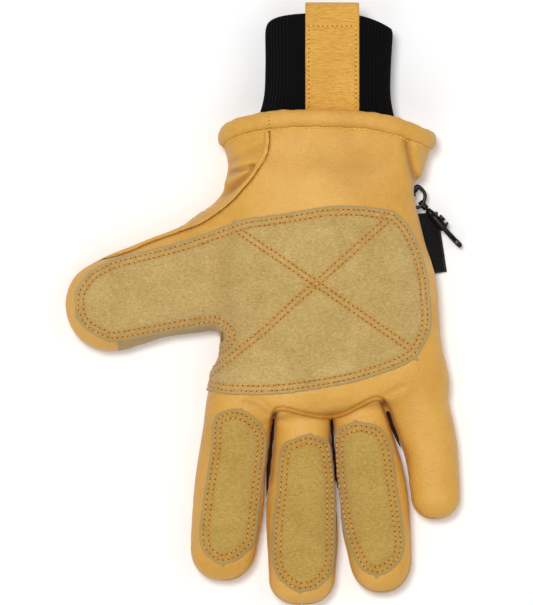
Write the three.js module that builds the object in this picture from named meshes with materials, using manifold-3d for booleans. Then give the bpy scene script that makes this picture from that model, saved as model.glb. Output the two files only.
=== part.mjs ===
// A lined leather work glove for the right hand, lying on its back with the palm up.
// Millimetres. +X runs from the thumb to the little finger, +Y from the fingertips to the
// knit cuff, and +Z up out of the palm. The origin is on the surface that it lies on.
import * as THREE from 'three';
import { mergeVertices } from 'three/addons/utils/BufferGeometryUtils.js';
import Module from 'manifold-3d';

const wasm = await Module();
wasm.setup();

// Driving dimensions
const WALL = 3; // leather with its padded lining
const GAP = 0.3; // left between two pieces that are sewn together
const SIDE_SEAM_Z = 13; // the seam that joins the back to the palm side
const STRIP_LOW_Z = 8; // the strips between the fingers reach from here
const STRIP_HIGH_Z = 18; // to here
const SUEDE = 1.3;
const SUEDE_LIFT = 0.35; // between the suede and the leather under it
const LIMB_WIDEST_Z = 13;
const BODY_WIDEST_Z = 16;
const FLATTENING = 1.24; // how far a section would sag below the surface that flattens it
const FAR = 200; // beyond the glove in any direction

// Colours, roughness and metalness of the materials
const leather = new THREE.MeshStandardMaterial({ color: 0xe3ad5e, roughness: 0.55 });
const leatherTrim = new THREE.MeshStandardMaterial({ color: 0xdc9d3f, roughness: 0.5 });
const suede = new THREE.MeshStandardMaterial({ color: 0xbf9f5c, roughness: 0.95 });
const knit = new THREE.MeshStandardMaterial({ color: 0x0e0e0f, roughness: 0.95 });
const woven = new THREE.MeshStandardMaterial({ color: 0x1c1a1b, roughness: 0.85 });
const plastic = new THREE.MeshStandardMaterial({ color: 0x0b0c0f, roughness: 0.35 });

// Sections of the fingers and thumb, from inside the palm out to where the round tip starts.
// x and y are the middle in plan, width is across, top is the height; tip is the round end's length.
const LIMBS = {
  index: {
    tip: 18.3,
    rows: [
      { x: -10.9, y: -38.0, width: 31.0, top: 33.0 },
      { x: -12.4, y: -57.1, width: 34.2, top: 32.0 },
      { x: -14.1, y: -71.0, width: 35.6, top: 30.2 },
      { x: -16.6, y: -92.0, width: 36.0, top: 28.8 },
      { x: -19.4, y: -115.6, width: 35.0, top: 28.0 },
      { x: -20.1, y: -123.2, width: 34.2, top: 27.6 },
    ],
  },
  middle: {
    tip: 15,
    rows: [
      { x: 20.2, y: -40.0, width: 27.4, top: 24.0 },
      { x: 20.2, y: -57.1, width: 28.8, top: 28.0 },
      { x: 19.6, y: -71.0, width: 30.6, top: 29.4 },
      { x: 19.4, y: -92.0, width: 34.6, top: 29.6 },
      { x: 19.6, y: -118.0, width: 36.0, top: 28.6 },
      { x: 19.6, y: -139.0, width: 33.8, top: 27.6 },
    ],
  },
  ring: {
    tip: 19.2,
    rows: [
      { x: 46.3, y: -38.0, width: 26.6, top: 23.0 },
      { x: 48.6, y: -56.0, width: 28.4, top: 27.6 },
      { x: 50.4, y: -64.0, width: 30.4, top: 28.8 },
      { x: 54.8, y: -90.0, width: 34.8, top: 28.8 },
      { x: 57.4, y: -112.0, width: 35.0, top: 28.2 },
      { x: 59.3, y: -128.5, width: 32.0, top: 27.2 },
    ],
  },
  little: {
    tip: 12.6,
    rows: [
      { x: 75.4, y: -34.0, width: 31.0, top: 33.0 },
      { x: 78.2, y: -52.1, width: 31.4, top: 30.6 },
      { x: 81.2, y: -62.2, width: 30.2, top: 28.6 },
      { x: 85.3, y: -78.0, width: 27.2, top: 27.0 },
      { x: 87.3, y: -98.0, width: 24.8, top: 25.2 },
    ],
  },
  thumb: {
    tip: 22.4,
    rows: [
      { x: 2.0, y: 23.0, width: 64.0, top: 32.0 },
      { x: -17.0, y: 18.9, width: 64.0, top: 35.0 },
      { x: -31.8, y: 12.6, width: 53.6, top: 34.0 },
      { x: -55.0, y: 7.4, width: 48.8, top: 31.8 },
      { x: -71.0, y: 1.7, width: 47.0, top: 30.4 },
      { x: -78.0, y: -1.5, width: 46.2, top: 29.7 },
    ],
  },
};

// Sections across the hand, from the gauntlet's hem to the knuckles. y is on the middle line, drop is
// how much nearer the fingers the sides are, and lean turns the section towards the index finger.
const BODY = [
  { y: 92.8, left: -21.2, right: 85.6, top: 43.6, bottom: 3.2, drop: 10, lean: -0.01 },
  { y: 85.0, left: -19.8, right: 84.4, top: 42.2, bottom: 1.6, drop: 8, lean: -0.01 },
  { y: 76.0, left: -18.2, right: 82.8, top: 41.2, bottom: 0.6, drop: 6, lean: 0 },
  { y: 66.0, left: -19.4, right: 80.8, top: 40.4, bottom: 0, drop: 4, lean: 0 },
  { y: 58.0, left: -20.8, right: 79.2, top: 40.4, bottom: 0, drop: 2, lean: 0 },
  { y: 49.0, left: -22.4, right: 78.0, top: 40.4, bottom: 0, drop: 0, lean: 0 },
  { y: 32.0, left: -21.4, right: 81.2, top: 41.4, bottom: 0, drop: 0, lean: 0 },
  { y: 14.0, left: -21.6, right: 87.4, top: 41.4, bottom: 0, drop: 0, lean: 0 },
  { y: -4.0, left: -21, right: 88.8, top: 40.2, bottom: 0, drop: 0, lean: 0 },
  { y: -20.0, left: -21.4, right: 89.9, top: 38.6, bottom: 0, drop: 0, lean: 0.04 },
  { y: -34.0, left: -24, right: 91.6, top: 37.2, bottom: 0, drop: 0, lean: 0.09 },
  { y: -46.0, left: -27.2, right: 93.8, top: 35.6, bottom: 0.4, drop: 0, lean: 0.13 },
  { y: -54.0, left: -27.0, right: 93.2, top: 31.4, bottom: 1.8, drop: 0, lean: 0.13 },
  { y: -57.6, left: -25.0, right: 91.4, top: 26, bottom: 4.5, drop: 0, lean: 0.13 },
];

// Folds and dents of the wrist, pressed in towards the middle of the hand.
const DENTS = [
  { x: -19, y: 71, z: 24, reach: 8, depth: 2.4 },
  { x: -17, y: 58, z: 26, reach: 7, depth: 3.2 },
  { x: 80, y: 70, z: 30, reach: 8, depth: 3 },
  { x: 75, y: 56, z: 4.5, reach: 10, depth: 11.5 },
];

// The seam from the hem round the base of the thumb, in plan. The back's leather is on its left.
const WRIST_SEAM = [
  [2.9, 112], [2.9, 88.4], [2.9, 81.8], [2.4, 76.8], [1, 73], [-0.5, 70.5], [-4.3, 64.2],
  [-7.4, 60.2], [-10.6, 56.7], [-14.5, 52.3], [-19.5, 47.8], [-25, 44], [-32.1, 39.8],
  [-42.9, 35.9], [-56.6, 31.5], [-64, 27.6], [-76, 21],
];

// The sewn crease at the foot of the middle and ring fingers, in plan.
const KNUCKLE_SEAM = [
  [5.2, -57.7], [6, -54.7], [8.3, -53.5], [11.7, -53.8], [16.8, -55.1], [24, -56.9],
  [31.1, -57.9], [37.8, -57.2], [42.9, -55.4], [46.2, -53.4], [50.4, -51.1], [54.6, -49.1],
  [57.6, -48.4], [59.7, -49.4], [61.4, -51.6], [62.6, -54.3],
];

// The seam between the fronts of these two fingers, in plan, and the outer ends of both fronts.
const BETWEEN_FRONTS = [
  [35.3, -75], [36.4, -88], [37.8, -101], [39.5, -FAR],
];
const MIDDLE_FRONT_END = [
  [0, -FAR], [2.6, -90],
];
const RING_FRONT_END = [
  [70, -75], [74.6, -100], [82, -FAR],
];

// Where the thumb's back meets the hand's, in plan.
const THUMB_BACK = [
  [-31, FAR], [-31, 50], [-26, 30], [-23, 5], [-24, -20], [-30, -32], [-FAR, -32], [-FAR, FAR],
];

// The strips between two fingers start inside the palm at these points.
const STRIPS = {
  strip_index_middle: { left: 'index', right: 'middle', start: [[16, -50], [-10, -50]] },
  strip_middle_ring: { left: 'middle', right: 'ring', start: [[45, -49], [22, -50]] },
  strip_ring_little: { left: 'ring', right: 'little', start: [[76, -43], [48, -48]] },
};

// Outlines of the suede patches, in plan. A finger's is a lozenge with round ends.
const PALM_PATCH = [
  [-96, -2], [-95.4, 4.8], [-92, 11.2], [-87.3, 16.4], [-76.2, 22.2], [-60, 26.2], [-39, 31.9],
  [-16.9, 40], [2.2, 43.8], [23.8, 47.3], [41.7, 48.9], [63.3, 46.8], [70.2, 42.6],
  [76.6, 33.6], [81.7, 19.9], [84, 4.8], [84.9, -9.5], [80.6, -22.5], [75.2, -29.5],
  [56.1, -37.2], [32.4, -43], [9.4, -46.2], [-12.2, -46.7], [-36, -44.6],
];
const THUMB_CROTCH = [
  [-36, -28], [-25.1, -23.4], [-20.4, -19.4], [-20.8, -13.8], [-26.5, -11.8], [-43.6, -14.5],
  [-62, -18], [-76, -20.1], [-88, -15.4],
];
const THUMB_SIDE_PATCH = [
  [-78, -36], [-78, -20.6], [-62, -18.5], [-43.6, -15], [-29.4, -12.8], [-28.4, -16],
  [-32, -22], [-32, -36],
];
const FINGER_PATCHES = {
  index: { top: [-12.4, -67.5], topHalf: 14.1, end: [-17.9, -117.6], endHalf: 14.7 },
  middle: { top: [21.6, -80.4], topHalf: 13.7, end: [20.3, -130.4], endHalf: 16.2 },
  ring: { top: [50.6, -75.5], topHalf: 15.2, end: [56.6, -123.6], endHalf: 14.9 },
};

// Sections of the knit cuff, from its free end to where it spreads inside the gauntlet.
const CUFF = [
  { y: 147, left: 1.6, right: 64.8, top: 35.6, bottom: 5.4, drop: 7, lean: 0 },
  { y: 141, left: 1.2, right: 65.2, top: 36.5, bottom: 4.4, drop: 5, lean: 0 },
  { y: 122, left: 1.3, right: 64.3, top: 36.5, bottom: 4.6, drop: 2, lean: 0 },
  { y: 106, left: 0.5, right: 64.2, top: 36.6, bottom: 5, drop: 2, lean: 0 },
  { y: 95, left: -3.2, right: 67, top: 36.6, bottom: 5, drop: 4, lean: 0 },
];
const CUFF_WALL = 2.6;
const CUFF_FOOT_Y = 75; // where the cuff is sewn to the inside of the gauntlet
const CUFF_WIDEST_Z = 20;
const CUFF_SPREAD = { above: 9, left: 4, right: 3.5, drop: 6 }; // a section just above the foot
const CUFF_PAST = 5; // the hollow runs this far past both ends

const TAB = {
  x: 34.7,
  width: 27.2,
  thick: 1.4,
  startY: 91,
  bendY: 149.8,
  bendSteps: 5,
  endY: 112,
  outerLift: 0.7,
  innerLift: 1.3,
};
const HEM = { outward: 2.9, along: 4.4, inset: 0.9, sides: 8 }; // half sizes of the stuffed hem
const WELT = { radius: 1.25, sink: 0.4, aside: 1.2 }; // aside: its middle is this far from the seam

// The swivel snap hook. Its own frame has X along it from the ring to the tip, with the head of the
// swivel pin at the origin, and Z up.
const CLIP = { x: 81.2, y: 49.6, z: 9.6, turn: -47.5 };
const EYE_HEIGHT = 0.9; // half of the ring's thickness upwards
// The middle line of the D-shaped ring and half its thickness in plan. The far bar is the wide one.
const EYE = [
  { x: -0.3, y: 0, half: 0.9 },
  { x: -1.2, y: 1.8, half: 0.85 },
  { x: -2.1, y: 3.2, half: 0.85 },
  { x: -3.4, y: 4.4, half: 0.85 },
  { x: -5.2, y: 4.9, half: 0.85 },
  { x: -7.2, y: 4.8, half: 0.95 },
  { x: -8.7, y: 4.1, half: 1.2 },
  { x: -8.5, y: 1.8, half: 1.4 },
  { x: -8.5, y: -1.8, half: 1.4 },
  { x: -8.7, y: -4.1, half: 1.2 },
  { x: -7.2, y: -4.8, half: 0.95 },
  { x: -5.2, y: -4.9, half: 0.85 },
  { x: -3, y: -4.5, half: 0.85 },
  { x: -1.4, y: -3.4, half: 0.85 },
  { x: -0.5, y: -1.9, half: 0.85 },
];
const COLLAR = { from: -0.3, to: 2.6, radius: 1.55 };
const SWIVEL_PIN = { radius: 0.7, bore: 1, headFrom: -2.5, headTo: -1, headRadius: 1.35 };
const BARREL = { from: 3.1, taperTo: 6.5, to: 16.4, startRadius: 1.4, radius: 2.1, bore: 1.4 };
const STOP_LUG = { from: 14.5, to: 16, high: 3.3, across: [-0.7, 0.7] };
const BOLT = { from: 10.6, to: 23.9, radius: 1.1, travel: 4 };
const THUMB_PIECE = { from: 9.6, to: 13.1, low: 2.4, high: 3.5, half: 1.5, neck: 0.75 };
const HOOK_WIRE = 1.3;
const HOOK_TIP = { from: 24.2, to: 28, across: [-1.25, 1.25] };

// A closed geometry from rings of points. Its ends are closed by fans round their middles, or by a
// strip where a section is a thin curved band, or not at all where the rings run in a loop.
function loft(rings, ends = 'fans') {
  const size = rings[0].length;
  const points = rings.flat().map((p) => p.clone());
  const faces = [];
  const spans = ends === 'loop' ? rings.length : rings.length - 1;
  for (let i = 0; i < spans; i++) {
    const near = i * size;
    const far = ((i + 1) % rings.length) * size;
    for (let j = 0; j < size; j++) {
      const k = (j + 1) % size;
      faces.push(near + j, near + k, far + k, near + j, far + k, far + j);
    }
  }
  const addCap = (start, isLast) => {
    const turned = (a, b, c) => faces.push(...(isLast ? [a, b, c] : [b, a, c]));
    if (ends === 'strip') {
      for (let j = 0; j < size / 2 - 1; j++) {
        const [a, b] = [start + j, start + j + 1];
        const [c, d] = [start + size - 2 - j, start + size - 1 - j];
        turned(a, b, c);
        turned(a, c, d);
      }
      return;
    }
    const middle = new THREE.Vector3();
    rings[isLast ? rings.length - 1 : 0].forEach((p) => middle.addScaledVector(p, 1 / size));
    points.push(middle);
    for (let j = 0; j < size; j++) turned(start + j, start + ((j + 1) % size), points.length - 1);
  };
  if (ends !== 'loop') {
    addCap(0, false);
    addCap((rings.length - 1) * size, true);
  }
  return new THREE.BufferGeometry().setFromPoints(points).setIndex(faces);
}

// A three.js geometry as a solid that can be cut and joined, with its faces pointing out.
function solid(geometry) {
  const bare = geometry.clone();
  bare.deleteAttribute('normal');
  bare.deleteAttribute('uv');
  const merged = mergeVertices(bare, 1e-4);
  const build = (triVerts) =>
    new wasm.Manifold(
      new wasm.Mesh({ numProp: 3, vertProperties: merged.attributes.position.array, triVerts }),
    );
  const triVerts = new Uint32Array(merged.index.array);
  const made = build(triVerts);
  return made.volume() > 0 ? made : build(triVerts.reverse());
}

function joined(solids) {
  return solids.reduce((all, one) => all.add(one));
}

function geometryOf(manifold) {
  const mesh = manifold.getMesh();
  const geometry = new THREE.BufferGeometry();
  geometry.setAttribute('position', new THREE.BufferAttribute(mesh.vertProperties, 3));
  geometry.setIndex(new THREE.BufferAttribute(mesh.triVerts, 1));
  geometry.computeVertexNormals();
  return geometry;
}

// A mesh of the largest body of a solid. Slivers that a cut has left beside it are dropped.
function meshOf(name, manifold, material) {
  const bodies = manifold.decompose().sort((a, b) => b.volume() - a.volume());
  const mesh = new THREE.Mesh(geometryOf(bodies[0]), material);
  mesh.name = name;
  return mesh;
}

// Every column of a table, run smoothly through its rows at a number of even steps.
function smoothed(rows, steps) {
  const columns = Object.keys(rows[0]);
  return Array.from({ length: steps }, (_, step) => {
    const place = (step / (steps - 1)) * (rows.length - 1);
    const i = Math.min(Math.floor(place), rows.length - 2);
    const t = place - i;
    const row = (k) => rows[Math.min(Math.max(k, 0), rows.length - 1)];
    const made = {};
    for (const column of columns) {
      const [a, b, c, d] = [row(i - 1)[column], row(i)[column], row(i + 1)[column], row(i + 2)[column]];
      const bend = 2 * a - 5 * b + 4 * c - d;
      made[column] = 0.5 * (2 * b + (c - a) * t + bend * t * t + (3 * (b - c) + d - a) * t ** 3);
    }
    return made;
  });
}

// Points round a section: across from the middle, height, and level, which is 1 at the top,
// 0 where it is widest and -1 at the bottom. The surface that it lies on flattens it.
function section({ half, top, bottom, widest }, inset, sides, squareness) {
  const power = 2 / squareness;
  return Array.from({ length: sides }, (_, i) => {
    const turn = (2 * Math.PI * i) / sides;
    const [c, s] = [Math.cos(turn), Math.sin(turn)];
    const across = Math.sign(c) * Math.abs(c) ** power * (half - inset);
    const rise = Math.abs(s) ** power;
    if (s >= 0) return { across, level: rise, z: widest + rise * (top - inset - widest) };
    const depth = rise * (widest - bottom - inset) * FLATTENING;
    return { across, level: -rise, z: Math.max(widest - depth, bottom + inset) };
  });
}

// A finger or thumb: its sections stand across the line of their middles, and a round tip ends it.
const LIMB_SIDES = 12;
const LIMB_SQUARENESS = 2.35; // 2 is an ellipse, and more is nearer to a box
const LIMB_RINGS = 6;
const TIP_ANGLES = [32, 60, 82];
const TIP_POWER = 0.92; // under 1 makes the tips fuller than half an ellipse
const ROOT_LIFTS = [5, 1.4]; // inside the palm a limb starts clear of the hand's own underside
function limb({ rows, tip }, inset) {
  const sections = smoothed(rows, LIMB_RINGS).map((row, i) => ({
    ...row,
    half: row.width / 2,
    bottom: ROOT_LIFTS[i] ?? 0,
    widest: LIMB_WIDEST_Z,
  }));
  const last = sections.at(-1);
  const before = sections.at(-2);
  const onward = new THREE.Vector2(last.x - before.x, last.y - before.y).normalize();
  for (const degrees of TIP_ANGLES) {
    const angle = THREE.MathUtils.degToRad(degrees);
    const reach = Math.sin(angle) ** TIP_POWER * (tip - inset);
    const shrink = Math.cos(angle) ** TIP_POWER;
    sections.push({
      x: last.x + onward.x * reach,
      y: last.y + onward.y * reach,
      half: (last.half - inset) * shrink + inset,
      top: LIMB_WIDEST_Z + (last.top - inset - LIMB_WIDEST_Z) * shrink + inset,
      bottom: LIMB_WIDEST_Z - (LIMB_WIDEST_Z - inset) * shrink - inset,
      widest: LIMB_WIDEST_Z,
    });
  }
  const rings = sections.map((here, i) => {
    const [from, to] = [sections[Math.max(i - 1, 0)], sections[Math.min(i + 1, sections.length - 1)]];
    const along = new THREE.Vector2(to.x - from.x, to.y - from.y).normalize();
    return section(here, inset, LIMB_SIDES, LIMB_SQUARENESS).map(
      ({ across, z }) => new THREE.Vector3(here.x - along.y * across, here.y + along.x * across, z),
    );
  });
  return solid(loft(rings));
}

// Moves a point of the hand in towards its middle line by the dents near it.
function dented(point, middleX) {
  const inward = new THREE.Vector3(middleX - point.x, 0, BODY_WIDEST_Z - point.z).normalize();
  const moved = point.clone();
  for (const { x, y, z, reach, depth } of DENTS) {
    const distance = point.distanceTo(new THREE.Vector3(x, y, z));
    moved.addScaledVector(inward, depth * Math.exp(-((distance / reach) ** 2)));
  }
  return moved;
}

// How square the shoulders of a mouth are, where its edge turns down at the sides.
const SHOULDER = { left: 1.6, right: 3.2 };

// One ring of the hand or the cuff from a row of its table.
function crossRing(row, inset, sides, squareness, widest) {
  const [middle, half] = [(row.left + row.right) / 2, (row.right - row.left) / 2];
  return section({ ...row, half, widest }, inset, sides, squareness).map(({ across, level, z }) => {
    const shoulder = SHOULDER[across < 0 ? 'left' : 'right'];
    const y = row.y - row.drop * (1 - Math.abs(level) ** shoulder) + row.lean * across;
    return new THREE.Vector3(middle + across, y, z);
  });
}

const BODY_SIDES = 22;
const BODY_SQUARENESS = 2.7;
function bodyRing(row, inset) {
  const middleX = (row.left + row.right) / 2;
  return crossRing(row, inset, BODY_SIDES, BODY_SQUARENESS, BODY_WIDEST_Z).map((p) => dented(p, middleX));
}

// The hand without its fingers. A solid that is inset by the wall runs out through the mouth.
const PAST_MOUTH = 12;
function body(inset) {
  const end = BODY.at(-1).y;
  const rows = BODY.map((row) => ({ ...row, y: Math.max(row.y, end + inset) }));
  const mouth = inset > 0 ? [{ ...rows[0], y: rows[0].y + PAST_MOUTH }] : [];
  return solid(loft([...mouth, ...rows].map((row) => bodyRing(row, inset))));
}

function hand(inset) {
  return joined([body(inset), ...Object.values(LIMBS).map((one) => limb(one, inset))]);
}

// An outline moved outwards by grow, with mitred corners.
function grown(outline, grow) {
  if (!grow) return outline;
  const clockwise = THREE.ShapeUtils.area(outline.map(([x, y]) => new THREE.Vector2(x, y))) < 0;
  const out = clockwise ? -grow : grow;
  return outline.map(([x, y], i) => {
    const [px, py] = outline.at(i - 1);
    const [nx, ny] = outline[(i + 1) % outline.length];
    const before = new THREE.Vector2(y - py, px - x).normalize();
    const after = new THREE.Vector2(ny - y, x - nx).normalize();
    const mitre = before.clone().add(after).normalize();
    const length = out / Math.max(mitre.dot(after), 0.4);
    return [x + mitre.x * length, y + mitre.y * length];
  });
}

// A solid that stands on an outline in plan.
function prism(outline, low, high, grow = 0) {
  const shape = new THREE.Shape(grown(outline, grow).map(([x, y]) => new THREE.Vector2(x, y)));
  const geometry = new THREE.ExtrudeGeometry(shape, { depth: high - low, bevelEnabled: false });
  return solid(geometry.translate(0, 0, low));
}

function layer(low, high) {
  return prism([[-FAR, -FAR], [FAR, -FAR], [FAR, FAR], [-FAR, FAR]], low, high);
}

// Points of a smooth curve in plan.
function curved(points, steps) {
  const curve = new THREE.SplineCurve(points.map(([x, y]) => new THREE.Vector2(x, y)));
  return curve.getPoints(steps).map((p) => [p.x, p.y]);
}

// The turned hem: a stuffed roll round the gauntlet's mouth.
function hemRoll(extra) {
  const outer = bodyRing(BODY[0], 0);
  const rings = outer.map((p, i) => {
    const tangent = outer[(i + 1) % outer.length].clone().sub(outer.at(i - 1)).normalize();
    const outward = new THREE.Vector3(tangent.z, 0, -tangent.x).normalize();
    const along = new THREE.Vector3().crossVectors(tangent, outward).normalize();
    const middle = p.clone().addScaledVector(outward, -HEM.inset);
    return Array.from({ length: HEM.sides }, (_, k) => {
      const angle = (2 * Math.PI * k) / HEM.sides;
      return middle
        .clone()
        .addScaledVector(outward, Math.cos(angle) * (HEM.outward + extra))
        .addScaledVector(along, Math.sin(angle) * (HEM.along + extra));
    });
  });
  return solid(loft(rings, 'loop'));
}

// The leather, cut into its panels along the seams.
function leatherPanels() {
  const shell = hand(0).subtract(hand(WALL)).subtract(hemRoll(GAP));
  const palmSide = shell.intersect(layer(SIDE_SEAM_Z + GAP / 2, FAR));
  const backSide = shell.intersect(layer(-FAR, SIDE_SEAM_Z - GAP / 2));
  const [, mouthY] = WRIST_SEAM[0];
  const wristOutline = [...curved(WRIST_SEAM, 16), [-FAR, 31], [-FAR, mouthY]];
  const overWrist = palmSide.intersect(prism(wristOutline, 0, FAR, -GAP));
  const fromBack = joined([
    backSide,
    overWrist,
    shell.intersect(prism(wristOutline, 0, SIDE_SEAM_Z + GAP, -GAP)),
  ]);

  // Between the fingers: strips that make their sides, each a V that runs round the crotch.
  const middleOf = (name) => [1, 3, -1].map((i) => LIMBS[name].rows.at(i)).map(({ x, y }) => [x, y]);
  const past = (name, dx) => [LIMBS[name].rows.at(-1).x + dx, -FAR];
  const strips = Object.entries(STRIPS).map(([name, { left, right, start }]) => {
    const rightSide = middleOf(right).reverse().map(([x, y]) => [x - GAP, y]);
    return [name, [...start, ...middleOf(left), past(left, 0), past(right, -GAP), ...rightSide]];
  });
  const besideStrips = joined(
    strips.map(([, outline]) => prism(outline, STRIP_LOW_Z - GAP, STRIP_HIGH_Z + GAP, GAP / 2)),
  );

  const knuckles = curved(KNUCKLE_SEAM, 16);
  const splitAt = knuckles.findIndex(([x]) => x > BETWEEN_FRONTS[0][0]);
  const middleOutline = [...knuckles.slice(0, splitAt + 1), ...BETWEEN_FRONTS, ...MIDDLE_FRONT_END];
  const ringOutline = [...BETWEEN_FRONTS.toReversed(), ...knuckles.slice(splitAt), ...RING_FRONT_END];
  const fronts = palmSide.subtract(besideStrips);
  const back = fromBack.subtract(besideStrips);

  const pieces = {
    palm_panel: fronts
      .subtract(prism(wristOutline, 0, FAR, 0))
      .subtract(prism(middleOutline, 0, FAR, GAP))
      .subtract(prism(ringOutline, 0, FAR, GAP)),
    middle_front: fronts.intersect(prism(middleOutline, 0, FAR)),
    ring_front: fronts.intersect(prism(ringOutline, 0, FAR, -GAP / 2)),
    back_panel: back.subtract(prism(THUMB_BACK, -1, FAR, GAP)),
    thumb_back: back.intersect(prism(THUMB_BACK, -1, FAR)),
  };
  for (const [name, outline] of strips) {
    pieces[name] = shell.intersect(prism(outline, STRIP_LOW_Z, STRIP_HIGH_Z));
  }
  return pieces;
}

// A suede patch: the part of a thin layer over the leather that stands on an outline.
const suedeLayer = hand(-SUEDE_LIFT - SUEDE).subtract(hand(-SUEDE_LIFT));
function suedePatch(outline, low, high) {
  return suedeLayer.intersect(prism(outline, low, high));
}

function lozenge({ top, topHalf, end, endHalf }) {
  const [a, b] = [new THREE.Vector2(...top), new THREE.Vector2(...end)];
  const along = b.clone().sub(a).angle();
  const arc = (centre, radius, from) =>
    Array.from({ length: 7 }, (_, i) => {
      const angle = along + from + (Math.PI * i) / 6;
      return [centre.x + radius * Math.cos(angle), centre.y + radius * Math.sin(angle)];
    });
  return [...arc(a, topHalf, Math.PI / 2), ...arc(b, endHalf, -Math.PI / 2)];
}

const PATCH_LOW_Z = { palm: 14.5, finger: 17, thumbSide: 3.5 };
const THUMB_SIDE_HIGH_Z = 27;
function suedePatches() {
  const palm = [...curved(PALM_PATCH, 28), ...curved(THUMB_CROTCH, 10)];
  const patches = { palm_patch: suedePatch(palm, PATCH_LOW_Z.palm, FAR) };
  for (const [name, shape] of Object.entries(FINGER_PATCHES)) {
    patches[name + '_patch'] = suedePatch(lozenge(shape), PATCH_LOW_Z.finger, FAR);
  }
  const room = prism(palm, SIDE_SEAM_Z, FAR, GAP);
  const thumbSide = suedePatch(THUMB_SIDE_PATCH, PATCH_LOW_Z.thumbSide, THUMB_SIDE_HIGH_Z);
  patches.thumb_side_patch = thumbSide.subtract(room);
  return patches;
}

// The height of the leather under a point in plan.
const bothSides = new THREE.MeshBasicMaterial({ side: THREE.DoubleSide });
const handMesh = new THREE.Mesh(geometryOf(hand(0)), bothSides);
function heightAt(x, y) {
  const ray = new THREE.Raycaster(new THREE.Vector3(x, y, FAR), new THREE.Vector3(0, 0, -1));
  return ray.intersectObject(handMesh)[0].point.z;
}

// A round strip sewn into a seam, along a line in plan that is laid on the leather.
function welt(plan, steps) {
  const path = new THREE.CatmullRomCurve3(
    plan.map(([x, y]) => new THREE.Vector3(x, y, heightAt(x, y) + WELT.radius - WELT.sink)),
  );
  const shape = new THREE.Shape().absarc(0, 0, WELT.radius, 0, 2 * Math.PI);
  const geometry = new THREE.ExtrudeGeometry(shape, { steps, curveSegments: 3, extrudePath: path });
  return solid(geometry).subtract(hand(-GAP)).subtract(hemRoll(GAP));
}

const CUFF_SIDES = 18;
const CUFF_SQUARENESS = 2.5;
function cuffRing(row, inset) {
  return crossRing(row, inset, CUFF_SIDES, CUFF_SQUARENESS, CUFF_WIDEST_Z);
}

// The knit tube, which spreads at its foot to the inside of the gauntlet.
function knitCuff() {
  const rows = smoothed(CUFF, 6);
  const at = (BODY[2].y - CUFF_FOOT_Y) / (BODY[2].y - BODY[3].y);
  const foot = {};
  for (const column of Object.keys(CUFF[0])) {
    foot[column] = THREE.MathUtils.lerp(BODY[2][column], BODY[3][column], at);
  }
  const lining = WALL + 2 * GAP;
  const inside = { ...foot, left: foot.left + lining, right: foot.right - lining };
  inside.top = foot.top - lining;
  inside.bottom = foot.bottom + lining;
  const spread = { ...inside, y: foot.y + CUFF_SPREAD.above, drop: CUFF_SPREAD.drop };
  spread.left += CUFF_SPREAD.left;
  spread.right -= CUFF_SPREAD.right;
  rows.push(spread, inside);
  const outer = rows.map((row) => cuffRing(row, 0));
  const [first, last] = [{ ...rows[0], y: rows[0].y + CUFF_PAST }, { ...inside, y: inside.y - CUFF_PAST }];
  const beyond = [first, ...rows.slice(1, -1), last];
  const inner = beyond.map((row) => cuffRing(row, CUFF_WALL));
  const tube = solid(loft(outer)).subtract(solid(loft(inner)));
  return tube.subtract(hand(0).subtract(hand(WALL + GAP))).subtract(hemRoll(GAP));
}

// How high the cuff's palm side stands at x, this far in from its outer face.
function cuffHeight(x, inset) {
  const { left, right, top } = CUFF[2];
  const share = Math.abs((x - (left + right) / 2) / ((right - left) / 2 - inset));
  const rise = (1 - share ** CUFF_SQUARENESS) ** (1 / CUFF_SQUARENESS);
  return CUFF_WIDEST_Z + rise * (top - inset - CUFF_WIDEST_Z);
}

// The leather tab: up the palm side of the cuff, over its edge and down inside it.
function pullTab() {
  const outside = -TAB.outerLift - TAB.thick / 2;
  const inside = CUFF_WALL + TAB.innerLift + TAB.thick / 2;
  const [middle, bend] = [(outside + inside) / 2, (inside - outside) / 2];
  const stops = [];
  for (const share of [0, 1 / 3, 2 / 3]) {
    stops.push({ y: THREE.MathUtils.lerp(TAB.startY, TAB.bendY, share), angle: Math.PI / 2 });
  }
  for (let i = 0; i <= TAB.bendSteps; i++) {
    stops.push({ y: TAB.bendY, angle: Math.PI * (0.5 - i / TAB.bendSteps) });
  }
  for (const share of [1 / 2, 1]) {
    stops.push({ y: THREE.MathUtils.lerp(TAB.bendY, TAB.endY, share), angle: -Math.PI / 2 });
  }
  const across = [-0.5, -0.3, -0.1, 0.1, 0.3, 0.5].map((share) => TAB.x + TAB.width * share);
  const rings = stops.map(({ y, angle }) => {
    const face = (radius) => (x) =>
      new THREE.Vector3(
        x,
        y + Math.cos(angle) * radius,
        cuffHeight(x, middle - Math.sin(angle) * radius),
      );
    const outer = across.map(face(bend + TAB.thick / 2));
    return [...outer, ...across.toReversed().map(face(bend - TAB.thick / 2))];
  });
  return solid(loft(rings, 'strip'));
}

// How far out the leather of the little finger's side stands, at a point along it.
function sideAt(y, z) {
  const ray = new THREE.Raycaster(new THREE.Vector3(FAR, y, z), new THREE.Vector3(-1, 0, 0));
  return ray.intersectObject(handMesh)[0].point.x;
}

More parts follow.
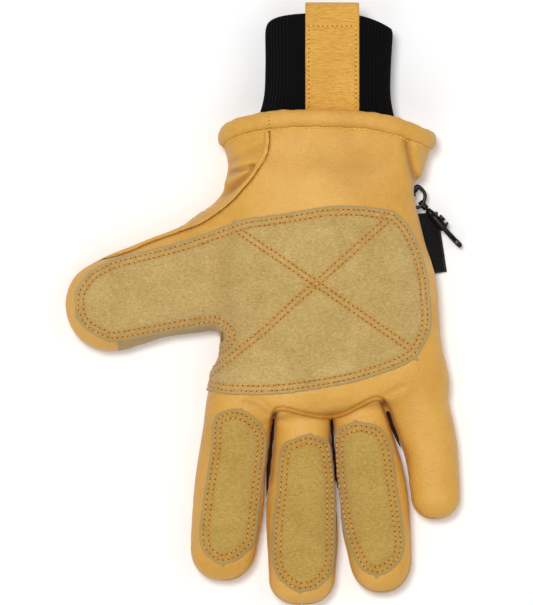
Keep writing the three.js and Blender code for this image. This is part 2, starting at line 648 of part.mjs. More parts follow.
// The woven tag in the little finger's side seam: it hangs down to the surface.
const LABEL = {
  seamZ: 8.6,
  restZ: 0.9,
  thick: 0.7,
  skew: 1.3,
  edges: [
    { y: 45.1, outer: 88.8 },
    { y: 31.6, outer: 91 },
    { y: 14.4, outer: 93.6 },
  ],
};
function sideLabel() {
  const { seamZ, restZ, thick, skew } = LABEL;
  const shares = [0, 0.25, 0.5, 0.75, 1];
  const rings = LABEL.edges.map(({ y, outer }) => {
    const seam = sideAt(y, seamZ + thick / 2) + GAP;
    const side = (lift) => (share) =>
      new THREE.Vector3(
        THREE.MathUtils.lerp(seam, outer, share),
        y + share * skew,
        restZ + (seamZ - restZ) * (1 - share) ** 2 + lift,
      );
    return [...shares.map(side(thick / 2)), ...shares.toReversed().map(side(-thick / 2))];
  });
  return solid(loft(rings, 'strip'));
}

// Shapes of the snap hook, in its own frame.
const ROD_SIDES = 10;
function rod(radius, from, to, startRadius = radius) {
  const geometry = new THREE.CylinderGeometry(radius, startRadius, to - from, ROD_SIDES);
  return solid(geometry.rotateZ(-Math.PI / 2).translate((from + to) / 2, 0, 0));
}

function block([x0, x1], [y0, y1], [z0, z1]) {
  const geometry = new THREE.BoxGeometry(x1 - x0, y1 - y0, z1 - z0);
  return solid(geometry.translate((x0 + x1) / 2, (y0 + y1) / 2, (z0 + z1) / 2));
}

const EYE_SIDES = 8;
function clipRing() {
  const rings = EYE.map(({ x, y, half }, i) => {
    const before = EYE.at(i - 1);
    const after = EYE[(i + 1) % EYE.length];
    const out = new THREE.Vector2(after.y - before.y, before.x - after.x).normalize();
    return Array.from({ length: EYE_SIDES }, (_, k) => {
      const angle = (2 * Math.PI * k) / EYE_SIDES;
      const aside = half * Math.cos(angle);
      return new THREE.Vector3(x + out.x * aside, y + out.y * aside, EYE_HEIGHT * Math.sin(angle));
    });
  });
  return solid(loft(rings, 'loop'))
    .add(rod(COLLAR.radius, COLLAR.from, COLLAR.to))
    .subtract(rod(SWIVEL_PIN.bore, -1.6, COLLAR.to + 1))
    .subtract(rod(SWIVEL_PIN.headRadius + GAP, SWIVEL_PIN.headFrom - GAP, SWIVEL_PIN.headTo + GAP));
}

function clipHook() {
  const slot = THUMB_PIECE.neck + GAP;
  const bend = new THREE.CatmullRomCurve3(
    [[14.6, -1.6], [16.6, -4.2], [18.6, -6.9], [22.4, -8.1], [25.8, -7], [27.8, -4.2], [27.2, -1]].map(
      ([x, z]) => new THREE.Vector3(x, 0, z),
    ),
  );
  const wire = new THREE.Shape().absarc(0, 0, HOOK_WIRE, 0, 2 * Math.PI);
  const hook = new THREE.ExtrudeGeometry(wire, { steps: 12, curveSegments: 2, extrudePath: bend });
  const boreFrom = THUMB_PIECE.from - BOLT.travel - GAP;
  return joined([
    rod(SWIVEL_PIN.headRadius, SWIVEL_PIN.headFrom, SWIVEL_PIN.headTo),
    rod(SWIVEL_PIN.radius, SWIVEL_PIN.headTo - 0.5, BARREL.from + 1),
    rod(BARREL.radius, BARREL.from, BARREL.taperTo, BARREL.startRadius),
    rod(BARREL.radius, BARREL.taperTo, BARREL.to),
    block([STOP_LUG.from, STOP_LUG.to], [BARREL.bore, STOP_LUG.high], STOP_LUG.across),
    solid(hook),
    block([HOOK_TIP.from, HOOK_TIP.to], HOOK_TIP.across, HOOK_TIP.across),
  ])
    .subtract(rod(BARREL.bore, boreFrom, HOOK_TIP.from - 0.01))
    .subtract(block([boreFrom, THUMB_PIECE.to], [0, BARREL.radius * 2], [-slot, slot]));
}

function clipBolt() {
  const { from, to, low, high, half, neck } = THUMB_PIECE;
  return joined([
    rod(BOLT.radius, BOLT.from, BOLT.to),
    block([from + GAP, to - GAP], [0, low + 0.5], [-neck, neck]),
    block([from, to], [low, high], [-half, half]),
  ]);
}

// The webbing loop that ties the ring to the side seam.
const LOOP = { x: -8.3, y: -1.3, hole: 1.2, thick: 1, width: 4.2, room: 0.3, reach: 7.6 };
function hangLoop() {
  const outline = (radius) => {
    const shape = new THREE.Shape();
    shape.absarc(LOOP.room, 0, radius, -Math.PI / 2, Math.PI / 2);
    shape.absarc(-LOOP.reach, 0, radius, Math.PI / 2, 1.5 * Math.PI);
    return shape;
  };
  const shape = outline(LOOP.hole + LOOP.thick);
  shape.holes.push(outline(LOOP.hole));
  const depth = LOOP.width;
  const strap = new THREE.ExtrudeGeometry(shape, { depth, bevelEnabled: false, curveSegments: 6 });
  strap.translate(0, 0, -LOOP.width / 2).rotateX(Math.PI / 2).translate(LOOP.x, LOOP.y, 0);
  strap.rotateZ(THREE.MathUtils.degToRad(CLIP.turn)).translate(CLIP.x, CLIP.y, CLIP.z);
  return solid(strap).subtract(hand(-GAP));
}

const glove = new THREE.Group();
for (const [name, piece] of Object.entries(leatherPanels())) {
  glove.add(meshOf(name, piece, leather));
}
for (const [name, piece] of Object.entries(suedePatches())) {
  glove.add(meshOf(name, piece, suede));
}
glove.add(meshOf('hem_roll', hemRoll(0), leather));
const thumbSeam = curved(WRIST_SEAM.slice(1, -1), 24).map(([x, y]) => [x - WELT.aside, y]);
glove.add(meshOf('thumb_welt', welt(thumbSeam, 20), leatherTrim));
glove.add(meshOf('knuckle_welt', welt(curved(KNUCKLE_SEAM.slice(1, -2), 14), 16), leatherTrim));
glove.add(meshOf('knit_cuff', knitCuff(), knit));
glove.add(meshOf('pull_tab', pullTab(), leatherTrim));
glove.add(meshOf('side_label', sideLabel(), woven));
glove.add(meshOf('hang_loop', hangLoop(), woven));

const clip = new THREE.Group();
clip.position.set(CLIP.x, CLIP.y, CLIP.z);
clip.rotation.z = THREE.MathUtils.degToRad(CLIP.turn);
clip.add(meshOf('clip_ring', clipRing(), plastic));
clip.add(meshOf('clip_hook', clipHook(), plastic));
clip.add(meshOf('clip_bolt', clipBolt(), plastic));
glove.add(clip);

export default glove;
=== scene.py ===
"""The looks of a lined leather work glove for the right hand, lying on its back with the palm up.

The leather and suede are surfaces of one distance field in millimetres, which is built from the
same sections as the solids. Stitches, welts, hem, knit, tab, label and snap hook are laid on it or
beside it.
"""

import math
from functools import reduce

import bpy
import numpy as np
import openvdb
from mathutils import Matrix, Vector
from mathutils.bvhtree import BVHTree


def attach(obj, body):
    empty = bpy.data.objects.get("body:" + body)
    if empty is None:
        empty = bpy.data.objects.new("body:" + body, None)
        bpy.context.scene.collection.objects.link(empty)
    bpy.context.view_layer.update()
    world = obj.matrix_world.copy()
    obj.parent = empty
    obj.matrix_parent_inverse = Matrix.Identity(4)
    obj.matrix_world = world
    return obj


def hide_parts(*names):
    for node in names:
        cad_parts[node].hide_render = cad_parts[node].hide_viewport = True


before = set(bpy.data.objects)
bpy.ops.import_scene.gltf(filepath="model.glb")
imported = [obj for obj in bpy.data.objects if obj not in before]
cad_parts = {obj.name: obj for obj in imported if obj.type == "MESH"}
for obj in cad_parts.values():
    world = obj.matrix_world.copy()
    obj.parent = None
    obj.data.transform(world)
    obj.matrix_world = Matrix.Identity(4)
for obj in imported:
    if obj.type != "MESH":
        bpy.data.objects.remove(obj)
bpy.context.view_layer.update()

MM = 0.001
SEED = 7
rng = np.random.default_rng(SEED)
TINY = 1e-9  # keeps a division by a length from failing

# Sizes that the solids share, in millimetres
SIDE_SEAM_Z = 13
STRIP_LOW_Z = 8
STRIP_HIGH_Z = 18
LIMB_WIDEST_Z = 13
LIMB_START = 8  # the length of its round start
BODY_WIDEST_Z = 16
CUFF_WIDEST_Z = 20
FLATTENING = 1.24
LIMB_SQUARENESS = 2.35
BODY_SQUARENESS = 2.7
CUFF_SQUARENESS = 2.5
TIP_ROUNDNESS = 2.17
SHOULDERS = (1.6, 3.2)
FAR = 200

# Sections of each finger and the thumb: x, y, width, top. The number is the round end's length.
LIMBS = {
    "index": (18.3, [
        (-10.9, -38.0, 31.0, 33.0), (-12.4, -57.1, 34.2, 32.0), (-14.1, -71.0, 35.6, 30.2),
        (-16.6, -92.0, 36.0, 28.8), (-19.4, -115.6, 35.0, 28.0), (-20.1, -123.2, 34.2, 27.6),
    ]),
    "middle": (15.0, [
        (20.2, -40.0, 27.4, 24.0), (20.2, -57.1, 28.8, 28.0), (19.6, -71.0, 30.6, 29.4),
        (19.4, -92.0, 34.6, 29.6), (19.6, -118.0, 36.0, 28.6), (19.6, -139.0, 33.8, 27.6),
    ]),
    "ring": (19.2, [
        (46.3, -38.0, 26.6, 23.0), (48.6, -56.0, 28.4, 27.6), (50.4, -64.0, 30.4, 28.8),
        (54.8, -90.0, 34.8, 28.8), (57.4, -112.0, 35.0, 28.2), (59.3, -128.5, 32.0, 27.2),
    ]),
    "little": (12.6, [
        (75.4, -34.0, 31.0, 33.0), (78.2, -52.1, 31.4, 30.6), (81.2, -62.2, 30.2, 28.6),
        (85.3, -78.0, 27.2, 27.0), (87.3, -98.0, 24.8, 25.2),
    ]),
    "thumb": (22.4, [
        (2.0, 23.0, 64.0, 32.0), (-17.0, 18.9, 64.0, 35.0), (-32.1, 13.5, 55.4, 34.0),
        (-55.0, 7.4, 48.8, 31.8), (-71.0, 1.7, 47.0, 30.4), (-78.0, -1.5, 46.2, 29.7),
    ]),
}

# Sections across the hand: y, left, right, top, bottom, drop of the sides, lean
BODY = [
    (92.8, -21.2, 85.6, 43.6, 3.2, 10.0, -0.01), (85.0, -19.8, 84.4, 42.2, 1.6, 8.0, -0.01),
    (76.0, -18.2, 82.8, 41.2, 0.6, 6.0, 0.0), (66.0, -19.4, 80.8, 40.4, 0.0, 4.0, 0.0),
    (58.0, -20.8, 79.2, 40.4, 0.0, 2.0, 0.0), (49.0, -22.4, 78.0, 40.4, 0.0, 0.0, 0.0),
    (32.0, -21.4, 81.2, 41.4, 0.0, 0.0, 0.0), (14.0, -21.6, 87.4, 41.4, 0.0, 0.0, 0.0),
    (-4.0, -21.0, 88.8, 40.2, 0.0, 0.0, 0.0), (-20.0, -21.4, 89.9, 38.6, 0.0, 0.0, 0.04),
    (-34.0, -24.0, 91.6, 37.2, 0.0, 0.0, 0.09), (-46.0, -27.2, 93.8, 35.6, 0.4, 0.0, 0.13),
    (-54.0, -27.0, 93.2, 31.4, 1.8, 0.0, 0.13), (-57.6, -25.0, 91.4, 26.0, 4.5, 0.0, 0.13),
]
Y, LEFT, RIGHT, TOP = range(4)

# Round dents: x, y, z, reach, depth
DENTS = [
    (82, 60, 22, 7, 1.8), (-19, 71, 24, 8, 1.6), (-17, 58, 26, 7, 2.4), (80, 70, 30, 8, 2.2),
    (-34, 46, 18, 7, 1.8), (75, 56, 4.5, 10, 11.5),
]
# Gaps between fingers: where each starts and how far down turned-in edges close it, both as y, and
# half its width at the start
GAPS = [(-56, -97, 0.75), (-59, -94, 0.75), (-53, -72, 1.1)]
GAP_TAPER = (6, 20, 0.55)  # a gap narrows from here below its start, over this length, to this half
GAP_ROUND = 0.5
GAP_NEAR = 8  # how far outside the fingers a gap is still cut
WEB_Z = (2, 9)  # between which heights the turned-in edges close a gap
WEB_SLANT = 7  # how steeply they end across it
WEB_REACH = 0.5  # how far they reach into each finger
WEB_IN = 1.6  # how far they let a finger stand out from them
FINGER_BLEND = 4
THUMB_BLEND = 7
UNEVEN = [(0.32, 34, 3), (0.12, 12, 4)]  # waves of the leather: depth, length, seed

THUMB_CREASE = [(-17, 33), (-19.5, 20), (-20, 6), (-19, -4)]
# Folds on the palm side: the line of each in plan, its half width and depth (a ridge is below 0).
FOLDS = [
    ([(-19, 70.5), (-15, 72), (-8.1, 74.6), (0, 78)], 1.6, 1.0),
    ([(-20, 64.6), (-16.9, 65.5), (-11, 67.4), (-5.6, 68.6)], 1.5, 2.4),
    ([(-4.8, 67.6), (-7, 64.8), (-11.3, 61), (-16.9, 56.6), (-20, 54.5)], 1.6, 2.6),
    ([(-19, 60.6), (-13, 64.2), (-8.5, 66.8)], 2.0, -1.5),
    ([(-2.2, 72), (-6.2, 70.6), (-14, 68.6)], 1.6, -0.9),
    ([(-9, 75.6), (-4, 78), (0.5, 79.6)], 1.1, 0.5),
    ([(-11, 79), (-5, 81.4)], 1.1, 0.4),
    ([(72.4, 82), (72.9, 78), (74.6, 69.1), (76.6, 62.6), (77.6, 56)], 1.9, 2.4),
    ([(77.8, 79), (79, 71), (80.8, 63)], 2.4, -1.1),
    ([(69.5, 80), (70.8, 70), (73, 60)], 3.5, -0.8),
    (THUMB_CREASE, 6, 1.6),
    ([(28, 70), (40, 66), (52, 68)], 8, 0.7),
    ([(6, 78), (22, 72), (36, 74)], 7, -0.6),
    ([(50, 80), (58, 74), (64, 66)], 6, -0.5),
    ([(1.5, -56), (-4, -52), (-10, -50.5)], 1.6, 0.8),
    ([(3.5, -53.5), (-1, -49.5), (-6, -48)], 1.3, 0.5),
    ([(60, -47.5), (66, -44), (71, -42)], 1.6, 0.6),
    ([(5.2, -56.5), (4.6, -62), (3.9, -75), (2.6, -90)], 1.3, 2.6),
    ([(34.6, -60), (35.2, -75), (36.6, -90)], 1.1, 1.6),
    ([(60.4, -50.5), (63.4, -56.5), (67.2, -68.2), (71.6, -80)], 1.5, 4.2),
]

WRIST_SEAM = [
    (2.9, 112), (2.9, 88.4), (2.9, 81.8), (2.4, 76.8), (1, 73), (-0.5, 70.5), (-4.3, 64.2),
    (-7.4, 60.2), (-10.6, 56.7), (-14.5, 52.3), (-19.5, 47.8), (-25, 43.8), (-32.1, 39.4),
    (-42.9, 35.3), (-56.6, 30.5), (-66, 26.4), (-74, 23.6), (-80, 22.2), (-88, 20.8),
]
KNUCKLE_SEAM = [
    (5.2, -57.7), (6, -54.7), (8.3, -53.5), (11.7, -53.8), (16.8, -55.1), (24, -56.9),
    (31.1, -57.9), (37.8, -57.2), (42.9, -55.4), (46.2, -53.4), (50.4, -51.1), (54.6, -49.1),
    (57.6, -48.4), (59.7, -49.4), (61.4, -51.6), (62.6, -54.3),
]
# The plan of each panel where no seam is drawn above
WRIST_SIDE = [(-FAR, 18), (-FAR, 112)]
SPLIT_X = 34.6  # where the knuckle seam passes from the middle to the ring finger
MIDDLE_SIDES = [(42, -70), (42, -FAR), (-8, -FAR), (-8, -90), (-2, -62)]
RING_SIDES = ([(28, -FAR), (28, -70)], [(72, -64), (84, -100), (84, -FAR)])
THUMB_STRIP_X = -88  # the wrap-round strip is one piece as far as the thumb's end
THUMB_BACK = [
    (-31, FAR), (-31, 50), (-26, 30), (-23, 5), (-24, -20), (-30, -32), (-FAR, -32), (-FAR, FAR),
]
STRIP_STARTS = {
    "strip_index_middle": ("index", "middle", [(16, -50), (-10, -50)]),
    "strip_middle_ring": ("middle", "ring", [(45, -49), (22, -50)]),
    "strip_ring_little": ("ring", "little", [(76, -43), (48, -48)]),
}

WALL = 2.4  # how thick the leather shells are
ROUND = 0.45  # how far a panel's edges are rounded
SEAM_GAP = 0.1  # what shows of the gap between two panels
MOUTH_ROOM = 0.6  # how far the panels stay back from the gauntlet's mouth
ALLOWANCE = (2.2, 0.8)  # how far the turned-in edges reach from a seam, and how deep they lie

# Outlines of the suede patches in plan
PALM_PATCH = [
    (-95.6, -4.5), (-95.8, 0.6), (-95.4, 4.8), (-94.2, 7.8), (-92, 11.2), (-89.8, 14.2),
    (-87.3, 16.4), (-81.9, 19.6), (-76.2, 22.2), (-68.1, 24.3), (-60, 26.2), (-49.4, 29),
    (-39, 31.9), (-27.7, 35.8), (-16.9, 39.7), (-8.6, 42.3), (2.2, 43.8), (13, 45.4),
    (23.8, 47.3), (31, 48.4), (41.7, 48.9), (48.9, 48.6), (56.1, 47.9), (63.3, 46.8),
    (66.9, 45.7), (70.2, 42.6), (73.4, 39), (76.6, 33.6), (79.5, 27.1), (81.7, 19.9),
    (83.3, 12.8), (84, 4.8), (84.9, -3.1), (84.9, -9.5), (84.2, -14.6), (82.8, -18.5),
    (80.6, -22.5), (78.4, -26.3), (75.2, -29.2), (69.1, -32.5), (63.3, -34.8), (56.1, -37.2),
    (48.9, -39.4), (41.7, -41.2), (32.4, -43), (20.2, -44.9), (9.4, -46.2), (-1.4, -46.8),
    (-12.2, -46.7), (-19.4, -46.4), (-27.6, -44.9), (-36, -44.6),
]
THUMB_CROTCH = [
    (-36, -24), (-23.6, -21.6), (-19.4, -17.7), (-20.2, -15.3), (-25.1, -12), (-30.7, -12.4),
    (-43.6, -14.5), (-59.8, -17.5), (-76, -20.1), (-81.7, -18.5), (-89.2, -14.5), (-93.9, -9.7),
]
THUMB_SIDE_PATCH = [
    (-75, -36), (-75, -20.4), (-72, -20.2), (-62, -18.3), (-43.6, -15.3), (-30.7, -13.2),
    (-25.5, -12.8), (-20.6, -15.4), (-19.8, -17.8), (-22, -21.4), (-36, -23.6), (-36, -36),
]
FINGER_PATCHES = {
    "index": [
        (-26.4, -68.5), (-26.2, -62.5), (-24.3, -57.5), (-19.8, -54.6), (-15.2, -53.5),
        (-11.6, -54), (-8, -55.4), (-4.6, -57.7), (-1.6, -60.9), (0.8, -64.9), (1.7, -68.8),
        (1.6, -74.4), (0.7, -83), (-0.5, -91.8), (-1.6, -101.3), (-2.5, -108.6), (-3.2, -115.9),
        (-4.5, -121.7), (-8.2, -126.4), (-13.3, -130.5), (-18.4, -132.1), (-22.8, -132.3),
        (-25.7, -130.8), (-29.3, -127.9), (-31.9, -123.9), (-32.6, -118.1), (-32.4, -112.3),
        (-31.5, -104.9), (-30, -94), (-28.2, -83), (-26.8, -74.4),
    ],
    "middle": [
        (21, -66.7), (15.9, -68.5), (11.5, -70.4), (8.9, -73.6), (7.9, -78), (7.2, -86),
        (6.8, -91.8), (6, -99.9), (5, -108.6), (4.2, -118.1), (3.9, -126.8), (4.6, -133.4),
        (7.2, -139.2), (11.5, -143.6), (15.1, -145.8), (18.4, -146.6), (21.7, -146.2),
        (26.8, -145), (30.5, -142.1), (34.1, -137.8), (35.9, -133.4), (36.7, -126.1),
        (36.7, -116.6), (37, -105), (36.7, -90.4), (35.9, -83.1), (34.8, -75.8), (33, -70.7),
        (29.7, -68.5), (26.1, -67.1),
    ],
    "ring": [
        (46.5, -60.3), (39.2, -62.9), (35.6, -68.3), (35.2, -77.5), (36.1, -90.2),
        (38.3, -104.7), (41, -117.4), (44.7, -126.4), (48.3, -133.8), (52.5, -137.2),
        (57.4, -138.5), (61.9, -137.2), (66.5, -133.8), (70, -129.5), (71.4, -124),
        (71.4, -119.1), (70.1, -108.3), (67.8, -93.7), (66, -80.2), (64.2, -71.1),
        (60.1, -63.8), (53.7, -60.9),
    ],
}
# Where the knife went in and came out again, a cut edge has a small point
CUT_POINTS = {
    "palm": [(-94.5, -7.6), (-14.6, 40.9), (77.5, -28.6)],
    "index": [(-11.2, -54), (-20.6, -133)],
    "middle": [(24, -66.6), (18.4, -146.8)],
    "ring": [(46.5, -60.1), (57.3, -139.2)],
}
X_STITCHING = [
    [(-11.5, 35.5), (26.6, 9.5), (74.1, -23.2)],
    [
        (61.9, 41.2), (26.6, 9.5), (17.3, 1.6), (2.2, -12.5), (-12.2, -24.3), (-19.4, -29.9),
        (-25.2, -34.3), (-29, -38),
    ],
]
X_HALF = 1.38  # half the distance between the two rows of a diagonal
SUEDE_THICK = 1.35
# How far down the palm's suede and the fingers' reach, and the palm's in the thumb's crotch, which
# is left of an x and between two values of y
PALM_LOW_Z = SIDE_SEAM_Z + 1.5
FINGER_LOW_Z = SIDE_SEAM_Z + 4
CROTCH_LOW_Z = 21
CROTCH = (-21, -21, 0)
PATCH_BACK = 0.65  # how far a finger's patch stays back from the middle of a gap
SUEDE_AGE = {"index": 0.45, "middle": 0.55, "ring": 0.5}  # how much darker than the palm's it is
POINT_SIZE = 0.9
ROWS_IN = (2.1, 4.7)  # how far in from the edge the two rows of stitches run
STITCH = {"pitch": 2.6, "radius": 0.46, "hole": 0.5}

# The suede on the thumb's side: its ends as x, its thickness and how gradually that starts, its
# lowest and highest z, where it ends under the palm's patch, how far it is sunk into the leather,
# and how much further it reaches above and below the side seam
THUMB_SIDE = {
    "ends": (-74.4, -21), "thick": 1.1, "start": (-76, 8), "low": 3.5, "top": 27,
    "under": (-2.5, 20.5), "sunk": 0.6, "wider": 5,
}

# Welts: the ends of their lines, radius, flatness, how high they lie, and how far beside the seam
WRIST_WELT = {"ends": (-76, 88), "radius": 1.35, "flat": 0.5, "lift": 0.3, "aside": 1.15}
KNUCKLE_WELT = {"ends": (5.4, 62), "radius": 1.05, "flat": 0.85, "lift": 0.15}

# Sections of the knit cuff: y, left, right, top, bottom, drop, lean
CUFF = [
    (144.9, 1.6, 64.8, 35.6, 5.4, 7.0, 0.0), (140, 1.2, 65.2, 36.5, 4.4, 5.0, 0.0),
    (122, 1.3, 64.3, 36.5, 4.6, 2.0, 0.0), (106, 0.5, 64.2, 36.6, 5.0, 2.0, 0.0),
    (95, -3.2, 67.0, 36.6, 5.0, 4.0, 0.0), (83, -9.0, 73.0, 36.4, 4.4, 5.5, 0.0),
    (76, -14.0, 78.0, 37.0, 4.2, 8.0, 0.0),
]
CUFF_SHOULDERS = (0.75, 2.6)
CUFF_WALL = 2.6
RIBS = 86
RIB_POINTS = 5
RIB_DEPTH = 0.34
# The tab's middle, where it starts, bends and ends, and its last row of stitches
TAB = {"x": 34.7, "width": 27.2, "thick": 1.4, "start": 91, "bend": 147.8, "end": 112, "row": 139.4}
TAB_LIFT = (0.7, 1.3)
TAB_ROW = TAB["width"] / 2 - 1.7  # how far its rows of stitches are from its middle
TAB_ROW_START = 98.5
HEM = (2.9, 4.4)  # half the roll's thickness and half its height
HEM_IN = 0.9  # how far its middle lies inside the mouth's section
HEM_LUMPS = [(0.035, 9, 0), (0.03, 23, 1), (0.02, 41, 0)]  # waves of its thickness round the mouth

CLIP = {"x": 81.2, "y": 49.6, "z": 9.6, "turn": math.radians(-47.5)}


# Curves in plan


def smooth_rows(rows, steps):
    """Every column of a table, run smoothly through its rows at even steps."""
    table = np.array(rows, float)
    place = np.linspace(0, len(table) - 1, steps)
    i = np.minimum(place.astype(int), len(table) - 2)
    t = (place - i)[:, None]
    a, b, c, d = (table[np.clip(i + k, 0, len(table) - 1)] for k in (-1, 0, 1, 2))
    cubic = (3 * (b - c) + d - a) * t**3
    return 0.5 * (2 * b + (c - a) * t + (2 * a - 5 * b + 4 * c - d) * t**2 + cubic)


def run_along(line):
    """How far along a line each of its points is."""
    return np.concatenate([[0], np.cumsum(np.linalg.norm(np.diff(line, axis=0), axis=1))])


def at(places, run, table):
    """The rows of a table at some places along a line."""
    return np.stack([np.interp(places, run, column) for column in table.T], axis=1)


def evenly(points, spacing, closed=False):
    """Points along a line at an even spacing, in plan or in space."""
    line = np.array(points, float)
    if closed:
        line = np.vstack([line, line[:1]])
    run = run_along(line)
    count = max(int(round(run[-1] / spacing)), 2)
    places = np.linspace(0, run[-1], count + 1)
    return at(places[: count if closed else count + 1], run, line)


def curve(points, spacing=0.8, closed=False):
    """A smooth curve through points."""
    line = list(points)
    if not closed:
        return evenly(smooth_rows(line, 16 * len(line)), spacing)
    lap, steps = 3, 12
    loop = line[-lap:] + line + line[:lap]
    dense = smooth_rows(loop, (len(loop) - 1) * steps + 1)
    return evenly(dense[lap * steps : (lap + len(line)) * steps], spacing, closed=True)


def unit(vectors):
    return vectors / (np.linalg.norm(vectors, axis=-1, keepdims=True) + TINY)


def normals_of(line, closed):
    """Unit vectors to the right of a line in plan."""
    if closed:
        along = np.roll(line, -1, axis=0) - np.roll(line, 1, axis=0)
    else:
        along = np.gradient(line, axis=0)
    along = unit(along)
    return np.stack([along[:, 1], -along[:, 0]], axis=1)


def far_from(line, px, py, closed):
    """Distance in plan to a line, and for a closed one below 0 inside it."""
    ends = np.roll(line, -1, axis=0) if closed else line[1:]
    starts = line if closed else line[:-1]
    best = np.full(px.shape, 1e9, np.float32)
    inside = np.zeros(px.shape, bool)
    for (ax, ay), (bx, by) in zip(starts, ends):
        ex, ey = bx - ax, by - ay
        t = np.clip(((px - ax) * ex + (py - ay) * ey) / (ex * ex + ey * ey + 1e-12), 0, 1)
        best = np.minimum(best, (px - ax - t * ex) ** 2 + (py - ay - t * ey) ** 2)
        if closed and ay != by:
            inside ^= ((ay > py) != (by > py)) & (px < ax + (py - ay) * ex / ey)
    distance = np.sqrt(best)
    return np.where(inside, -distance, distance) if closed else distance


def inward(outline, depth):
    """The line that runs inside a closed outline at a depth. Loops at tight corners are dropped."""
    right = normals_of(outline, True)
    lines = []
    for sign in (1, -1):
        moved = outline + right * sign * depth
        away = far_from(outline, moved[:, 0], moved[:, 1], True)
        lines.append(moved[np.abs(away + depth) < 0.12])
    return evenly(max(lines, key=len), 0.5, closed=True)


# The distance field of the whole glove without its cuff

STEP = 0.92
LOW = np.array([-107.0, -160.5, -3.0])
HIGH = np.array([103.0, 104.0, 50.0])
REACH = 12  # how far from the surface the field is kept
xs, ys, zs = (np.arange(a, b, STEP, dtype=np.float32) for a, b in zip(LOW, HIGH))
PX, PY = np.meshgrid(xs, ys, indexing="ij")
PZ = zs[None, None, :]


def smax(a, b, k):
    h = np.clip(0.5 + 0.5 * (a - b) / k, 0, 1)
    return b + (a - b) * h + k * h * (1 - h)


def smin(a, b, k):
    return -smax(-a, -b, k)


def all_of(*fields):
    """The field that is below 0 where all of some fields are."""
    return reduce(np.maximum, fields)


def hump(away, width):
    """1 at a line or point, and nothing some widths away from it."""
    return np.exp(-((away / width) ** 2))


def steepness(field):
    gx, gy, gz = np.gradient(field, STEP)
    return np.sqrt(gx * gx + gy * gy + gz * gz)


def level_of(widest, top, bottom):
    """How high a point is in its section: 1 at the top or at the bottom, 0 where it is widest."""
    up = (PZ - widest) / np.maximum(top - widest, 1)[..., None]
    down = (widest - PZ) / (np.maximum(widest - bottom, 1) * FLATTENING)[..., None]
    return np.where(PZ > widest, up, down)


def distance_of(shape):
    """The distance to where a shape's number is 1."""
    shape = shape.astype(np.float32)
    return np.clip((shape - 1) / np.maximum(steepness(shape), 0.01), -REACH, REACH)


def limb_field(tip, rows):
    table = smooth_rows(rows, 170)
    heading = np.gradient(table[:, :2], axis=0)
    heading /= np.linalg.norm(heading, axis=1)[:, None]
    nearest = np.zeros(PX.shape, int)
    best = np.full(PX.shape, 1e9)
    for i, (x, y) in enumerate(table[:, :2]):
        away = (PX - x) ** 2 + (PY - y) ** 2
        closer = away < best
        best[closer] = away[closer]
        nearest[closer] = i
    x, y, width, top = (table[nearest, k] for k in range(4))
    ax, ay = heading[nearest, 0], heading[nearest, 1]
    across = np.abs((PX - x) * -ay + (PY - y) * ax) / (width / 2)
    onward = np.maximum((PX - x) * ax + (PY - y) * ay, 0) * (nearest == len(table) - 1) / tip
    back = np.maximum(-(PX - x) * ax - (PY - y) * ay, 0) * (nearest == 0) / LIMB_START
    level = level_of(LIMB_WIDEST_Z, top, np.zeros_like(top))
    p, q = LIMB_SQUARENESS, TIP_ROUNDNESS
    round_section = (across[..., None] ** p + level**p) ** (q / p)
    shape = (round_section + (onward**q + back**q)[..., None]) ** (1 / q)
    return smax(distance_of(shape), -PZ, 1.5)


def body_rows_at(y):
    table = smooth_rows(BODY, 260)[::-1]
    return [np.interp(y, table[:, Y], table[:, k]) for k in range(7)]


def body_field():
    """The hand without its fingers, and how far along it each point in plan is."""
    along = PY.copy()
    for _ in range(8):
        _, left, right, _, _, drop, lean = body_rows_at(along)
        middle, half = (left + right) / 2, (right - left) / 2
        share = np.clip(np.abs(PX - middle) / half, 0, 1)
        level = (1 - share**BODY_SQUARENESS) ** (1 / BODY_SQUARENESS)
        shoulder = np.where(PX < middle, *SHOULDERS)
        along = PY + drop * (1 - level**shoulder) - lean * (PX - middle)
    _, left, right, top, bottom, _, _ = body_rows_at(along)
    middle, half = (left + right) / 2, (right - left) / 2
    across = (np.abs(PX - middle) / half)[..., None]
    p = BODY_SQUARENESS
    shape = (across**p + level_of(BODY_WIDEST_Z, top, bottom) ** p) ** (1 / p)
    distance = smax(distance_of(shape), bottom[..., None] - PZ, 1.5)
    return smax(distance, (BODY[-1][Y] - along)[..., None], 6), along


def waves(length, seed):
    """Soft irregular waves through space, between about -1 and 1."""
    dice = np.random.default_rng(seed)
    total = 0
    for _ in range(7):
        turn = dice.normal(size=3)
        turn *= 2 * math.pi / length / np.linalg.norm(turn) * dice.uniform(0.6, 1.3)
        phase = dice.uniform(0, 2 * math.pi)
        total = total + np.sin((turn[0] * PX + turn[1] * PY + phase)[..., None] + turn[2] * PZ)
    return (total / 4).astype(np.float32)


def palm_share(z):
    """0 at the side seam and below, 1 on the palm."""
    return np.clip((z - 14) / 8, 0, 1)


def finger_gaps(fingers):
    """For each gap: its cut, its turned-in edges, and the field that is 0 in its middle."""
    taper_from, taper_over, end_half = GAP_TAPER
    web_middle, web_half = (WEB_Z[0] + WEB_Z[1]) / 2, (WEB_Z[1] - WEB_Z[0]) / 2
    for one, other, (start, end, half) in zip(fingers, fingers[1:], GAPS):
        share = np.clip((start - taper_from - PY) / taper_over, 0, 1)[..., None]
        wide = half - (half - end_half) * share
        side, outside = (one - other) / 2, np.maximum(one, other)
        cut = np.where(outside < GAP_NEAR, wide - np.abs(side), -REACH)
        web = all_of(
            np.abs(side) - half - WEB_REACH, outside - WEB_IN,
            (end - PY)[..., None] - WEB_SLANT * side, np.abs(PZ - web_middle) - web_half,
        )
        yield cut, web, side


